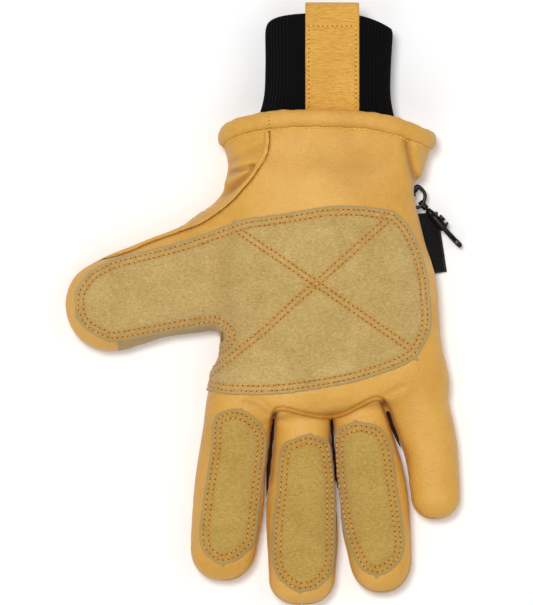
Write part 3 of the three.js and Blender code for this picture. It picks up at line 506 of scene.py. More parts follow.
def hand_field():
    hand, along = body_field()
    each = [limb_field(*LIMBS[name]) for name in ("index", "middle", "ring", "little")]
    fingers = np.minimum.reduce(each)
    cuts, webs, sides = zip(*finger_gaps(each))
    for cut in cuts:
        fingers = smax(fingers, cut, GAP_ROUND)
    hand = smin(hand, fingers, FINGER_BLEND)
    for cut, (start, _, _) in zip(cuts, GAPS):
        fading = 3 * np.clip((PY - start) / 3 + 1, 0, 1)[..., None]
        hand = smax(hand, cut - fading, GAP_ROUND)
    hand = smin(hand, limb_field(*LIMBS["thumb"]), THUMB_BLEND)
    for depth, length, seed in UNEVEN:
        hand = hand + depth * waves(length, seed)
    for x, y, z, reach, depth in DENTS:
        away = ((PX - x) ** 2 + (PY - y) ** 2)[..., None] + (PZ - z) ** 2
        hand = hand + depth * np.exp(-away / reach**2)
    above = palm_share(PZ)
    # shade is painted shade: darker in the valleys of the folds and in a band along the knuckle
    # seam.
    shade = np.zeros(PX.shape)
    for line, width, depth in FOLDS:
        away = far_from(curve(line), PX, PY, False)
        hand = hand + (depth * hump(away, width))[..., None] * above
        shade = shade + 0.42 * max(depth, 0) * hump(away, 0.8 * width)
    away = np.maximum(far_from(curve(KNUCKLE_SEAM), PX, PY, False) - 1, 0)
    shade = np.maximum(shade, hump(away, 0.7))
    hand = smax(hand, -PZ, 1.2)
    return hand / np.clip(steepness(hand), 0.5, 2), along, np.clip(shade, 0, 1), webs, sides


# SIDES are below 0 on the first side of each gap between two fingers and above 0 on its other side.
HAND, ALONG, SHADE, WEBS, SIDES = hand_field()
MOUTH = (ALONG - BODY[0][Y])[..., None] + MOUTH_ROOM  # above 0 past the edge of the panels


# Meshes


def make(name, points, faces, looks, numbers=None, uv=None, slots=None):
    """An object from points in millimetres. numbers are named values, one for each point.

    A face that names its last corner twice is a triangle.
    """
    mesh = bpy.data.meshes.new(name)
    polygons = [face[:3] if face[2] == face[3] else face for face in np.asarray(faces).tolist()]
    mesh.from_pydata(np.asarray(points) * MM, [], polygons)
    mesh.validate()
    mesh.polygons.foreach_set("use_smooth", [True] * len(mesh.polygons))
    for key, values in (numbers or {}).items():
        layer = mesh.attributes.new(key, "FLOAT", "POINT")
        layer.data.foreach_set("value", np.asarray(values, np.float32))
    if uv is not None:
        layer = mesh.uv_layers.new(name="UVMap")
        corners = np.zeros(len(mesh.loops), np.int32)
        mesh.loops.foreach_get("vertex_index", corners)
        layer.data.foreach_set("uv", np.asarray(uv, np.float32)[corners].ravel())
    for look in looks:
        mesh.materials.append(look)
    if slots is not None:
        mesh.polygons.foreach_set("material_index", np.asarray(slots, np.int32))
    thing = bpy.data.objects.new(name, mesh)
    bpy.context.scene.collection.objects.link(thing)
    return thing


def joined(name, shapes, looks):
    """Many small shapes as one mesh. Each is its points, faces, look's number and shade."""
    points, faces, slots, shades = zip(*shapes)
    starts = np.cumsum([0] + [len(some) for some in points])
    return make(
        name, np.vstack(points), np.vstack([some + start for some, start in zip(faces, starts)]),
        looks, numbers={"shade": np.repeat(shades, [len(some) for some in points])},
        slots=np.repeat(slots, [len(some) for some in faces]),
    )


def largest(points, faces):
    """The largest connected part of a mesh."""
    label = np.arange(len(points))
    while True:
        before = label.copy()
        low = label[faces].min(axis=1)
        for k in range(faces.shape[1]):
            np.minimum.at(label, faces[:, k], low)
        label = label[label]
        if np.array_equal(before, label):
            break
    names, counts = np.unique(label, return_counts=True)
    keep = label == names[counts.argmax()]
    renumber = np.cumsum(keep) - 1
    return points[keep], renumber[faces[keep[faces[:, 0]]]]


def surface_of(field):
    """Points and faces where a field is 0, for its largest body."""
    band = 2.5 * STEP
    inside = np.argwhere(field < band)
    a, b = np.maximum(inside.min(axis=0) - 2, 0), inside.max(axis=0) + 3
    part = np.clip(field[a[0] : b[0], a[1] : b[1], a[2] : b[2]], -band, band)
    part = np.pad(part.astype(np.float32), 1, constant_values=band)
    volume = openvdb.FloatGrid(float(band))
    volume.copyFromArray(part)
    points, faces = volume.convertToQuads(isovalue=0.0)
    return largest((points + a - 1) * STEP + LOW, faces)


def sampled(field, points):
    """The value of a field at points, from the eight values round each."""
    place = (points - LOW) / STEP
    cell = np.clip(place.astype(int), 0, np.array(field.shape) - 2)
    t = np.clip(place - cell, 0, 1)
    total = 0
    for corner in np.ndindex(2, 2, 2):
        weight = np.abs(1 - np.array(corner) - t).prod(axis=1)
        total = total + weight * field[tuple((cell + corner).T)]
    return total


def in_plan(table, points):
    """The value of a table in plan at points."""
    return sampled(np.repeat(table[..., None], 2, axis=2), points * (1, 1, 0) + (0, 0, LOW[2]))


def inset(limit, points, reach=1.5):
    """How far inside a limit points are: 0 at its edge, 1 from the reach on."""
    return np.clip(-sampled(limit, points) / reach, 0, 1)


def circle(sides):
    """The cosines and sines of a circle's points."""
    angle = np.arange(sides) * 2 * math.pi / sides
    return np.cos(angle), np.sin(angle)


def sweep(rings, loop=False, capped=True):
    """Points and faces of a surface through rings of points, each a closed section."""
    rings = np.asarray(rings)
    count, size = rings.shape[:2]
    j = np.arange(size)
    k = (j + 1) % size
    faces = []
    for i in range(count if loop else count - 1):
        a, b = i * size, ((i + 1) % count) * size
        faces.append(np.stack([a + j, a + k, b + k, b + j], axis=1))
    points = rings.reshape(-1, 3)
    if loop or not capped:
        return points, np.concatenate(faces)
    last = (count - 1) * size
    for ring, one, other in ((rings[0], k, j), (rings[-1], last + j, last + k)):
        points = np.vstack([points, ring.mean(axis=0)])
        hub = np.full(size, len(points) - 1)
        faces.append(np.stack([one, other, hub, hub], axis=1))
    return points, np.concatenate(faces)


def tube(path, radius, sides=10, up=(0.0, 0.0, 1.0), flat=1.0):
    """A round tube along a path. radius and up are one value or one for each point."""
    path = np.asarray(path, float)
    tangent = unit(np.gradient(path, axis=0))
    side = unit(np.cross(tangent, np.broadcast_to(up, path.shape)))
    over = np.cross(side, tangent)
    c, s = circle(sides)
    radius = np.broadcast_to(radius, len(path))
    return sweep([
        p + r * (c[:, None] * across + flat * s[:, None] * high)
        for p, r, across, high in zip(path, radius, side, over)
    ])


# Materials


def plug(tree, target, value):
    """Joins an output to a socket, or sets the socket to a number."""
    if isinstance(value, bpy.types.NodeSocket):
        tree.links.new(value, target)
    else:
        target.default_value = value


class Look:
    """A material that is built from nodes."""

    def __init__(self, name, roughness=0.6, **constants):
        self.material = bpy.data.materials.new(name)
        self.material.use_nodes = True
        self.tree = self.material.node_tree
        self.shader = self.tree.nodes["Principled BSDF"]
        self.shader.inputs["Roughness"].default_value = roughness
        for key, value in constants.items():
            self.shader.inputs[key.replace("_", " ")].default_value = value
        self.place = self.node("TexCoord").outputs["Object"]

    def node(self, kind, inputs=None, **settings):
        made = self.tree.nodes.new("ShaderNode" + kind)
        for key, value in settings.items():
            setattr(made, key, value)
        for key, value in (inputs or {}).items():
            plug(self.tree, made.inputs[key], value)
        return made

    def stretched(self, scale, turn=0.0):
        inputs = {"Vector": self.place, "Scale": scale, "Rotation": (0, 0, turn)}
        return self.node("Mapping", inputs).outputs[0]

    def noise(self, size_mm, detail=3.0, rough=0.55, vector=None, warp=0.0):
        return self.node("TexNoise", {
            "Vector": vector or self.place, "Scale": 1000 / size_mm, "Detail": detail,
            "Roughness": rough, "Distortion": warp,
        }).outputs["Fac"]

    def cells(self, size_mm, feature="F1"):
        inputs = {"Vector": self.place, "Scale": 1000 / size_mm}
        return self.node("TexVoronoi", inputs, feature=feature).outputs["Distance"]

    def value(self, name):
        return self.node("Attribute", attribute_name=name).outputs["Fac"]

    def across_and_along(self):
        uv = self.node("UVMap", uv_map="UVMap").outputs[0]
        parts = self.node("SeparateXYZ", {"Vector": uv})
        return parts.outputs["X"], parts.outputs["Y"]

    def ramp(self, value, stops):
        """Colours or greys at places between 0 and 1."""
        made = self.node("ValToRGB", {"Fac": value})
        line = made.color_ramp
        while len(line.elements) < len(stops):
            line.elements.new(0.5)
        for element, (place, colour) in zip(line.elements, stops):
            element.position = place
            element.color = (*np.broadcast_to(colour, 3), 1)
        return made.outputs["Color"]

    def math(self, operation, a, b=0.0):
        made = self.node("Math", operation=operation)
        plug(self.tree, made.inputs[0], a)
        plug(self.tree, made.inputs[1], b)
        return made.outputs[0]

    def times(self, value, factor):
        return self.math("MULTIPLY", value, factor)

    def total(self, *terms):
        """The sum of values, each times its factor."""
        parts = [self.times(value, factor) for value, factor in terms]
        whole = parts[0]
        for part in parts[1:]:
            whole = self.math("ADD", whole, part)
        return whole

    def sine(self, value, pitch=1.0):
        return self.math("SINE", self.times(value, 2 * math.pi / pitch))

    def mix(self, share, a, b, blend="MIX"):
        made = self.node("Mix", data_type="RGBA", blend_type=blend)
        for key, value in ((0, share), (6, a), (7, b)):
            if isinstance(value, tuple):
                value = (*value, 1)
            plug(self.tree, made.inputs[key], value)
        return made.outputs[2]

    def bump(self, height, distance_mm, strength=1.0, normal=None):
        inputs = {"Height": height, "Distance": distance_mm * MM, "Strength": strength}
        if normal is not None:
            inputs["Normal"] = normal
        return self.node("Bump", inputs).outputs["Normal"]

    def done(self, colour, normal=None, roughness=None):
        for key, value in (("Base Color", colour), ("Normal", normal), ("Roughness", roughness)):
            if value is not None:
                plug(self.tree, self.shader.inputs[key], value)
        return self.material


def leather_look(name, tones, seam_and_shade_dark, grain=0.8, wrinkles=0.0, gloss=0.42):
    look = Look(
        name, roughness=0.5, Specular_IOR_Level=gloss, Sheen_Weight=0.06, Sheen_Roughness=0.5,
    )
    broad = look.noise(38, detail=4, rough=0.6, warp=0.5)
    fine = look.noise(3.2, detail=5, rough=0.7)
    blend = look.total((broad, 0.72), (fine, 0.28))
    colour = look.ramp(blend, list(zip((0.33, 0.5, 0.66), tones)))
    pores = look.ramp(look.cells(0.95), [(0.0, 0.0), (0.16, 1.0)])
    colour = look.mix(0.10, colour, pores, blend="MULTIPLY")
    # The seam value darkens a panel's edges where they turn into a seam; the shade value is painted
    # shade.
    seam = look.ramp(look.value("seam"), [(0.0, 1.0), (0.35, 0.35), (1.0, 0.0)])
    for dark, factor in ((seam, 0.6), (look.value("shade"), 0.5)):
        colour = look.mix(look.times(dark, factor), colour, seam_and_shade_dark)
    creases = look.noise(2.4, detail=2, vector=look.stretched((1.0, 2.6, 1.0), 0.5), warp=1.2)
    pebbles = look.cells(1.15, feature="SMOOTH_F1")
    normal = look.bump(pebbles, 0.22 * grain, 0.55)
    normal = look.bump(creases, 0.35 * grain, 0.35, normal)
    normal = look.bump(broad, 0.9, 0.25, normal)
    if wrinkles:
        across = look.stretched((0.2, 1.0, 1.0))
        lines = look.noise(0.9, detail=3, rough=0.5, vector=across, warp=0.5)
        colour = look.mix(look.ramp(lines, [(0.3, wrinkles), (0.5, 0.0)]), colour, seam_and_shade_dark)
        normal = look.bump(lines, 1.2, 0.9, normal)
    return look.done(colour, normal, look.ramp(fine, [(0.3, 0.44), (0.7, 0.6)]))


def suede_look(name, tint):
    look = Look(
        name, roughness=0.95, Specular_IOR_Level=0.12, Sheen_Weight=0.35, Sheen_Roughness=0.6,
    )
    broad = look.noise(24, detail=5, rough=0.62, warp=0.8)
    nap = look.noise(0.95, detail=4, rough=0.75, vector=look.stretched((0.55, 1.0, 1.0)))
    fleck = look.noise(0.55, detail=2, rough=0.8)
    blend = look.total((broad, 0.22), (nap, 0.44), (fleck, 0.34))
    tones = np.array(SUEDE_TONES) * tint
    colour = look.ramp(blend, list(zip((0.37, 0.5, 0.61), tones.tolist())))
    edge = look.ramp(look.value("edge"), [(0.0, 1.0), (0.45, 0.8), (1.0, 0.0)])
    colour = look.mix(edge, colour, SUEDE_EDGE)
    # The row value darkens the suede along its stitch rows, gives the finger patches their darker
    # tone, and paints shade in the thumb's crease and on the thumb's side.
    colour = look.mix(look.times(look.value("row"), 0.3), colour, SUEDE_ROW_AND_SHADE)
    normal = look.bump(fleck, 0.16, 0.7, look.bump(nap, 0.35, 0.6))
    return look.done(colour, normal)


def thread_look(name, dark, light):
    look = Look(name, roughness=0.55, Sheen_Weight=0.2)
    twist = look.node("TexWave", {
        "Vector": look.place, "Scale": 900.0, "Distortion": 1.5, "Detail": 1.0,
    }, bands_direction="DIAGONAL").outputs["Fac"]
    shade = look.total((look.value("shade"), 0.6), (twist, 0.4))
    return look.done(look.ramp(shade, [(0.15, dark), (0.85, light)]), look.bump(twist, 0.12, 0.5))


# A dark cap at each needle hole; its dark colour is painted shade in the hole.
def hole_look(dark, light):
    look = Look("needle_hole", roughness=0.95, Specular_IOR_Level=0.1)
    return look.done(look.ramp(look.noise(1.5), [(0.35, dark), (0.7, light)]))


def knit_look(dark, light):
    look = Look(
        "rib_knit", roughness=0.95, Specular_IOR_Level=0.1, Sheen_Weight=0.03, Sheen_Roughness=0.5,
    )
    across, along = look.across_and_along()
    column = look.times(across, 2.0)
    lean = look.math("ABSOLUTE", look.math("SUBTRACT", look.math("FRACT", column), 0.5))
    loops = look.sine(look.math("SUBTRACT", along, lean))
    height = look.total((loops, 1.0), (look.sine(column), 0.6))
    fuzz = look.noise(0.8, detail=4, rough=0.8)
    colour = look.ramp(look.total((height, 0.15), (fuzz, 1.0)), [(0.35, dark), (0.75, light)])
    return look.done(colour, look.bump(fuzz, 0.2, 0.4, look.bump(height, 0.22, 0.8)))


def woven_look(name, dark, light, pitch_mm):
    look = Look(name, roughness=0.9, Specular_IOR_Level=0.12, Sheen_Weight=0.04)
    warp, weft = (look.sine(place, pitch_mm) for place in look.across_and_along())
    height = look.times(warp, weft)
    fuzz = look.noise(1.4, detail=4, rough=0.7)
    colour = look.ramp(look.total((height, 0.2), (fuzz, 1.0)), [(0.3, dark), (0.75, light)])
    colour = look.mix(look.times(look.value("border"), 0.8), colour, WOVEN_BORDER)
    return look.done(colour, look.bump(height, 0.15, 0.8))


def plastic_look(dark, light):
    look = Look("black_plastic", roughness=0.36, Specular_IOR_Level=0.24)
    colour = look.ramp(look.noise(6, detail=4), [(0.3, dark), (0.7, light)])
    roughness = look.ramp(look.noise(2.5, detail=5), [(0.3, 0.26), (0.7, 0.4)])
    return look.done(colour, look.bump(look.noise(0.7, detail=3), 0.05, 0.4), roughness)


SUEDE_TONES = [(0.40, 0.25, 0.07), (0.57, 0.385, 0.125), (0.72, 0.52, 0.21)]
SUEDE_EDGE = (0.44, 0.345, 0.145)
# The dark tone for the stitch rows and for painted shade on the suede.
SUEDE_ROW_AND_SHADE = (0.37, 0.22, 0.035)
WOVEN_BORDER = (0.055, 0.045, 0.04)
LEATHER = leather_look(
    "pigskin", [(0.68, 0.342, 0.050), (0.77, 0.405, 0.070), (0.83, 0.462, 0.094)],
    (0.27, 0.10, 0.014), grain=1.7,
)
TAB_LEATHER = leather_look(
    "tab_leather", [(0.74, 0.36, 0.045), (0.84, 0.43, 0.062), (0.91, 0.49, 0.085)],
    (0.40, 0.15, 0.015), wrinkles=0.2,
)
# Near black: painted shade on the turned-in edges deep in the gaps between the fingers.
GAP_SHADE_LEATHER = leather_look(
    "gap_shade_leather", [(0.05, 0.016, 0.003), (0.07, 0.022, 0.004), (0.09, 0.03, 0.005)],
    (0.03, 0.01, 0.002), grain=1.0, gloss=0.04,
)
WELT = leather_look(
    "welt_leather", [(0.46, 0.18, 0.014), (0.60, 0.25, 0.024), (0.72, 0.33, 0.04)],
    (0.26, 0.08, 0.01),
)
SUEDE = suede_look("suede", (1, 1, 1))
FINGER_SUEDE = suede_look("finger_suede", (0.955, 0.9, 0.61))
ORANGE = thread_look("orange_thread", (0.62, 0.21, 0.010), (0.92, 0.43, 0.04))
GOLD = thread_look("gold_thread", (0.78, 0.46, 0.035), (0.98, 0.66, 0.10))
HOLE = hole_look((0.13, 0.02, 0.002), (0.30, 0.065, 0.006))
KNIT = knit_look((0.0014, 0.0014, 0.0016), (0.0045, 0.0045, 0.0048))
WOVEN = woven_look("woven_black", (0.005, 0.005, 0.005), (0.018, 0.016, 0.016), 0.7)
WEBBING = woven_look("webbing_black", (0.005, 0.005, 0.005), (0.02, 0.02, 0.02), 1.0)
PLASTIC = plastic_look((0.0015, 0.0018, 0.003), (0.004, 0.0048, 0.008))


def dress(thing, body, slot, *nodes):
    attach(thing, body)
    if nodes:
        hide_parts(*nodes)
    return thing


def plain_leather(name, shape, look, slot, node):
    """A piece of leather that no seam darkens."""
    points, faces = shape
    thing = make(name, points, faces, [look], numbers={"seam": np.ones(len(points))})
    return dress(thing, "glove", slot, node)


# Leather panels

shell = all_of(HAND, -(HAND + WALL), MOUTH)
side_seam = PZ - SIDE_SEAM_Z + np.zeros_like(HAND)
seam_line = curve(WRIST_SEAM)
knuckles = curve(KNUCKLE_SEAM)
split = knuckles[np.abs(knuckles[:, 0] - SPLIT_X).argmin()]


def inside_of(outline):
    """A field that is below 0 inside an outline in plan."""
    return far_from(np.array(outline, float), PX, PY, True)[..., None]


def limb_line(name):
    """Points on a limb's middle line in plan, and one far beyond its tip."""
    line = [LIMBS[name][1][i][:2] for i in (1, 3, -1)]
    return [*line, (line[-1][0], -FAR)]


def strip_part(left, right, start):
    plan = inside_of([*start, *limb_line(left), *limb_line(right)[::-1]])
    return all_of(plan, STRIP_LOW_Z - PZ, PZ - STRIP_HIGH_Z)


wrist = inside_of([*seam_line, *WRIST_SIDE])
middle_plan = [*knuckles[knuckles[:, 0] < split[0]], split, *MIDDLE_SIDES]
ring_plan = [*RING_SIDES[0], split, *knuckles[knuckles[:, 0] > split[0]], *RING_SIDES[1]]
middle_part = all_of(inside_of(middle_plan), -SIDES[0], SIDES[1])
ring_part = all_of(inside_of(ring_plan), -SIDES[1], SIDES[2])
above_seam = np.minimum(PZ - SIDE_SEAM_Z, PX[..., None] - THUMB_STRIP_X)
thumb_part = np.maximum(inside_of(THUMB_BACK), above_seam)
strips = {name: strip_part(*start) for name, start in STRIP_STARTS.items()}
beside = SEAM_GAP / 2 - reduce(np.minimum, strips.values())
palm_side = SEAM_GAP / 2 - side_seam
past_wrist = np.maximum(SIDE_SEAM_Z - 1 - PZ, wrist + SEAM_GAP / 2)
from_back = np.minimum(side_seam + SEAM_GAP / 2, past_wrist)
parts = {
    "palm_panel": [
        palm_side, SEAM_GAP / 2 - wrist, SEAM_GAP - middle_part, SEAM_GAP - ring_part, beside,
    ],
    "middle_front": [palm_side, middle_part, beside],
    "ring_front": [palm_side, ring_part, beside],
    "back_panel": [from_back, SEAM_GAP - thumb_part, beside],
    "thumb_back": [from_back, thumb_part, beside],
    **{name: [part + SEAM_GAP / 2] for name, part in strips.items()},
}
for name, limits in parts.items():
    limit = all_of(*limits)
    points, faces = surface_of(smax(shell, limit, ROUND))
    # Painted shade of the folds and the knuckle seam, on the palm side only.
    shade = in_plan(SHADE, points) * palm_share(points[:, 2])
    numbers = {"seam": inset(limit, points), "shade": shade}
    panel = make(name + "_leather", points, faces, [LEATHER], numbers=numbers)
    dress(panel, "glove", "pigskin", name)


# The turned-in edges behind the seams and between the fingers

seams = (beside, wrist, middle_part, ring_part, thumb_part, PZ - SIDE_SEAM_Z)
near_seam = reduce(np.minimum, [np.abs(seam) for seam in seams])
allowance = all_of(HAND + ALLOWANCE[1], -(HAND + WALL), near_seam - ALLOWANCE[0], MOUTH)
inner_parts = {"seam_allowances": (allowance, LEATHER)}
for web, strip in zip(WEBS, STRIP_STARTS):
    inner_parts[strip.replace("strip", "allowance")] = (web, GAP_SHADE_LEATHER)
for name, (field, look) in inner_parts.items():
    points, faces = surface_of(field)
    # Both values darken these all over: painted shade, where they lie in the seams and between the
    # fingers.
    numbers = {"seam": np.zeros(len(points)), "shade": np.ones(len(points))}
    dress(make(name, points, faces, [look], numbers=numbers), "glove", "pigskin")


# Stitches


def facing(field, points):
    """The outward normals of a field's surface at points."""
    up = [sampled(field, points + d) - sampled(field, points - d) for d in STEP * np.eye(3)]
    return unit(np.stack(up, axis=1))


def laid(field, line, low=SIDE_SEAM_Z + 2):
    """A line in plan laid on the top of a field's surface: its points and the normals there.

    Where nothing lies below the line, or only something lower than low, the line is left out.
    """
    place = (line - LOW[:2]) / STEP
    cell = place.astype(int)
    t = place - cell
    column = 0
    for dx, dy in np.ndindex(2, 2):
        weight = np.abs(1 - dx - t[:, 0]) * np.abs(1 - dy - t[:, 1])
        column = column + weight[:, None] * field[cell[:, 0] + dx, cell[:, 1] + dy]
    inside = column < 0
    k = np.clip(len(zs) - 1 - inside[:, ::-1].argmax(axis=1), 0, len(zs) - 2)
    each = np.arange(len(line))
    below, above = column[each, k], column[each, k + 1]
    z = zs[k] + STEP * below / (below - above + TINY)
    points = np.column_stack([line, z])[inside.any(axis=1) & (z > low)]
    return points, facing(field, points)


LAY = 0.6  # the spacing of the points of a line that is laid on a surface
JUMP = 4  # a row of stitches is interrupted where its points are further apart
UNSTEADY = 0.06  # how much stitches differ in place and thickness
# A stitch at places along it: how far it stands out of the surface, where -1 is sunk and 1 is its
# full rise, and its thickness
STITCH_SHAPE = np.array([
    (0, -1, 0.35), (0.14, 0, 0.85), (0.34, 1, 1.0), (0.66, 1, 1.0), (0.86, 0, 0.85), (1, -1, 0.35),
])


def sew(points, normals, pitch, radius, hole=0.0, share=0.76, rise=0.22, sink=0.3):
    """A row of stitches along a line in space, with a needle hole between each two."""
    jumps = np.flatnonzero(np.linalg.norm(np.diff(points, axis=0), axis=1) > JUMP) + 1
    if len(jumps):
        rows = zip(np.split(points, jumps), np.split(normals, jumps))
        settings = (pitch, radius, hole, share, rise, sink)
        return [made for on, up in rows if len(on) > 3 for made in sew(on, up, *settings)]
    run = run_along(points)
    count = max(int(run[-1] / pitch), 1)
    pitch = run[-1] / count
    places, stands, widths = STITCH_SHAPE.T
    lifts = np.select([stands < 0, stands > 0], [-sink, rise], 0.04)
    shapes = []
    for i in range(count):
        aside, thicker = rng.uniform(-UNSTEADY, UNSTEADY, 2)
        along = (i + (1 - share) / 2 + share * places + aside) * pitch
        up = unit(at(along, run, normals))
        path = at(along, run, points) + up * lifts[:, None]
        made = tube(path, widths * radius * (1 + thicker), sides=6, up=up)
        shapes.append((*made, 0, rng.uniform(0.2, 0.9)))
        if hole:
            spot, up = at([i * pitch], run, points)[0], at([i * pitch], run, normals)[0]
            side = unit(np.cross(up, (0.0, 0.0, 1.0) if abs(up[2]) < 0.9 else (1.0, 0.0, 0.0)))
            c, s = circle(7)
            rim = spot + hole * (c[:, None] * side + s[:, None] * np.cross(up, side))
            shapes.append((*sweep([rim - 0.15 * up, rim * 0.75 + spot * 0.25 + 0.1 * up]), 1, 0.5))
    return shapes


def stitched(name, shapes, thread, slot):
    dress(joined(name + "_stitches", shapes, [thread, HOLE]), "glove", slot)


# Suede patches

RAW_EDGE = 0.09 * waves(9, 21)[:, :, 20]  # how a cut edge wavers, in plan


def patch_of(
    outline, low_z, points_at=(), cuts=(), rows=(), thick=SUEDE_THICK, sunk=0.3, wider=0,
):
    """The suede over an outline in plan: field, top layer, limit, and distance to the stitches."""
    plan = far_from(outline, PX, PY, True) + RAW_EDGE
    for x, y in points_at:
        plan = smin(plan, np.hypot(PX - x, PY - y) - POINT_SIZE, 0.9)
    row = np.full(PX.shape, 50, np.float32)
    for line, closed in rows:
        row = np.minimum(row, np.abs(far_from(line, PX, PY, closed)))
    top = HAND - thick + 0.4 * hump(row, 1.0)[..., None]
    limit = all_of(plan[..., None] - wider, low_z - PZ, *cuts)
    return smax(np.maximum(top, -sunk - HAND), limit, 0.5), top, limit, row


def add_patch(key, outline, low_z, look, crossings=(), cuts=()):
    rows = [(inward(outline, depth), True) for depth in ROWS_IN]
    rows += [(line, False) for line in crossings]
    field, top, limit, row = patch_of(outline, low_z, CUT_POINTS[key], cuts, rows)
    points, faces = surface_of(field)
    # Beside the stitch rows the suede is darker, and in the thumb's crease it gets painted shade.
    crease = in_plan(far_from(curve(THUMB_CREASE), PX, PY, False), points)
    dark = np.maximum(hump(in_plan(row, points), 0.8), 0.9 * hump(crease, 4.5))
    numbers = {"edge": inset(limit, points), "row": dark + SUEDE_AGE.get(key, 0)}
    patch = make(key + "_suede", points, faces, [look], numbers=numbers)
    dress(patch, "glove", "suede", key + "_patch")
    shapes = []
    for line, closed in rows:
        path = np.vstack([line, line[:1]]) if closed else line
        shapes += sew(*laid(top, evenly(path, LAY), SIDE_SEAM_Z + 5), **STITCH)
    stitched(key + "_suede", shapes, ORANGE, "suede")


palm_outline = np.vstack([curve(PALM_PATCH), curve(THUMB_CROTCH)])
diagonals = []
for line in X_STITCHING:
    middle = curve(line, 0.6)
    side = normals_of(middle, False)
    diagonals += [middle + side * X_HALF, middle - side * X_HALF]
in_crotch = (PX < CROTCH[0]) & (PY > CROTCH[1]) & (PY < CROTCH[2])
palm_low = np.where(in_crotch, CROTCH_LOW_Z, PALM_LOW_Z)[..., None]
add_patch("palm", palm_outline, palm_low, SUEDE, diagonals)
for k, (key, outline) in enumerate(FINGER_PATCHES.items()):
    cuts = [SIDES[k] + PATCH_BACK]
    if k:
        cuts.append(PATCH_BACK - SIDES[k - 1])
    add_patch(key, curve(outline, closed=True), FINGER_LOW_Z, FINGER_SUEDE, cuts=cuts)


def thumb_side():
    """The suede on the thumb's side, whose wall leans in above and below the side seam."""
    (left, right), (start, length) = THUMB_SIDE["ends"], THUMB_SIDE["start"]
    below, under_z = THUMB_SIDE["under"]
    thick = THUMB_SIDE["thick"] * np.clip((PX - start) / length, 0, 1)[..., None]
    wider = THUMB_SIDE["wider"] * np.clip((np.abs(PZ - SIDE_SEAM_Z - 1) - 1) / 4, 0, 1)
    ends = np.maximum(left - PX, PX - right)[..., None]
    under_palm = np.minimum(below - inside_of(palm_outline), PZ - under_z)
    field, _, limit, _ = patch_of(
        np.array(THUMB_SIDE_PATCH, float), THUMB_SIDE["low"], thick=thick, wider=wider,
        cuts=(under_palm, PZ - THUMB_SIDE["top"], ends), sunk=THUMB_SIDE["sunk"],
    )
    points, faces = surface_of(field)
    # The whole side band is painted darker: painted shade under the palm patch's edge.
    numbers = {"edge": inset(limit, points, 1.2), "row": np.full(len(points), 2.0)}
    return make("thumb_side_suede", points, faces, [SUEDE], numbers=numbers)


dress(thumb_side(), "glove", "suede", "thumb_side_patch")


# Welts


def add_welt(key, line, welt, look):
    on, up = laid(HAND, evenly(line, 0.7))
    count = np.arange(len(on))
    lumps = 1 + 0.06 * np.sin(count * 0.9) + rng.normal(0, 0.015, len(on))
    ends = np.clip(np.minimum(count, count[::-1]) / 4, 0.25, 1)
    radius = welt["radius"] * lumps * ends
    shape = tube(on + up * welt["lift"], radius, sides=14, up=up, flat=welt["flat"])
    plain_leather(key + "_seam_welt", shape, look, "trim_leather", key + "_welt")


left, high = WRIST_WELT["ends"]
welt_line = seam_line[(seam_line[:, 1] < high) & (seam_line[:, 0] > left)]
welt_side = normals_of(welt_line, False)
add_welt("thumb", welt_line + welt_side * WRIST_WELT["aside"], WRIST_WELT, LEATHER)
left, right = KNUCKLE_WELT["ends"]
knuckle_line = knuckles[(knuckles[:, 0] > left) & (knuckles[:, 0] < right)]
add_welt("knuckle", knuckle_line, KNUCKLE_WELT, WELT)


# The hem


def squared(share, power):
    """A cosine or sine of a circle that is a little square."""
    return np.sign(share) * np.abs(share) ** power


def section_ring(row, widest, squareness, count, inset_by=0.0, shoulders=SHOULDERS):
    """Evenly spaced points round a mouth or cuff section."""
    y, left, right, top, bottom, drop_y, lean = row
    turn = np.linspace(0, 2 * math.pi, 721)[:-1]
    c, s = np.cos(turn), np.sin(turn)
    power = 2 / squareness
    across = squared(c, power) * ((right - left) / 2 - inset_by)
    rise = np.abs(s) ** power
    high = widest + rise * (top - inset_by - widest)
    low = widest - rise * (widest - bottom - inset_by) * FLATTENING
    z = np.where(s >= 0, high, np.maximum(low, bottom + inset_by))
    shoulder = np.where(across < 0, *shoulders)
    along = y - drop_y * (1 - rise**shoulder) + lean * across
    ring = np.stack([(left + right) / 2 + across, along, z], axis=1)
    length = np.linalg.norm(np.roll(ring, -1, axis=0) - ring, axis=1).sum()
    return evenly(ring, length / count, closed=True)[:count]


def around(ring):
    """The outward and along-the-glove directions of a closed ring."""
    tangent = unit(np.roll(ring, -1, axis=0) - np.roll(ring, 1, axis=0))
    out = unit(np.stack([tangent[:, 2], np.zeros(len(ring)), -tangent[:, 0]], axis=1))
    return out, np.cross(tangent, out)


def on_hem(i, c, s, lump=1):
    """Points on the hem's roll at one place round the mouth."""
    middle = mouth[i] - outward[i] * HEM_IN
    aside = (c * HEM[0] * lump)[:, None] * outward[i]
    return middle + aside + (s * HEM[1] * lump)[:, None] * along_hem[i]


mouth = section_ring(BODY[0], BODY_WIDEST_Z, BODY_SQUARENESS, 300)
outward, along_hem = around(mouth)
place = np.arange(len(mouth)) * 2 * math.pi / len(mouth)
lumps = 1 + sum(size * np.sin(count * place + phase) for size, count, phase in HEM_LUMPS)
c, s = (squared(share, 0.92) for share in circle(28))
rings = [on_hem(i, c, s, lump) for i, lump in enumerate(lumps)]
hem = plain_leather("hem", sweep(rings, loop=True), LEATHER, "pigskin", "hem_roll")

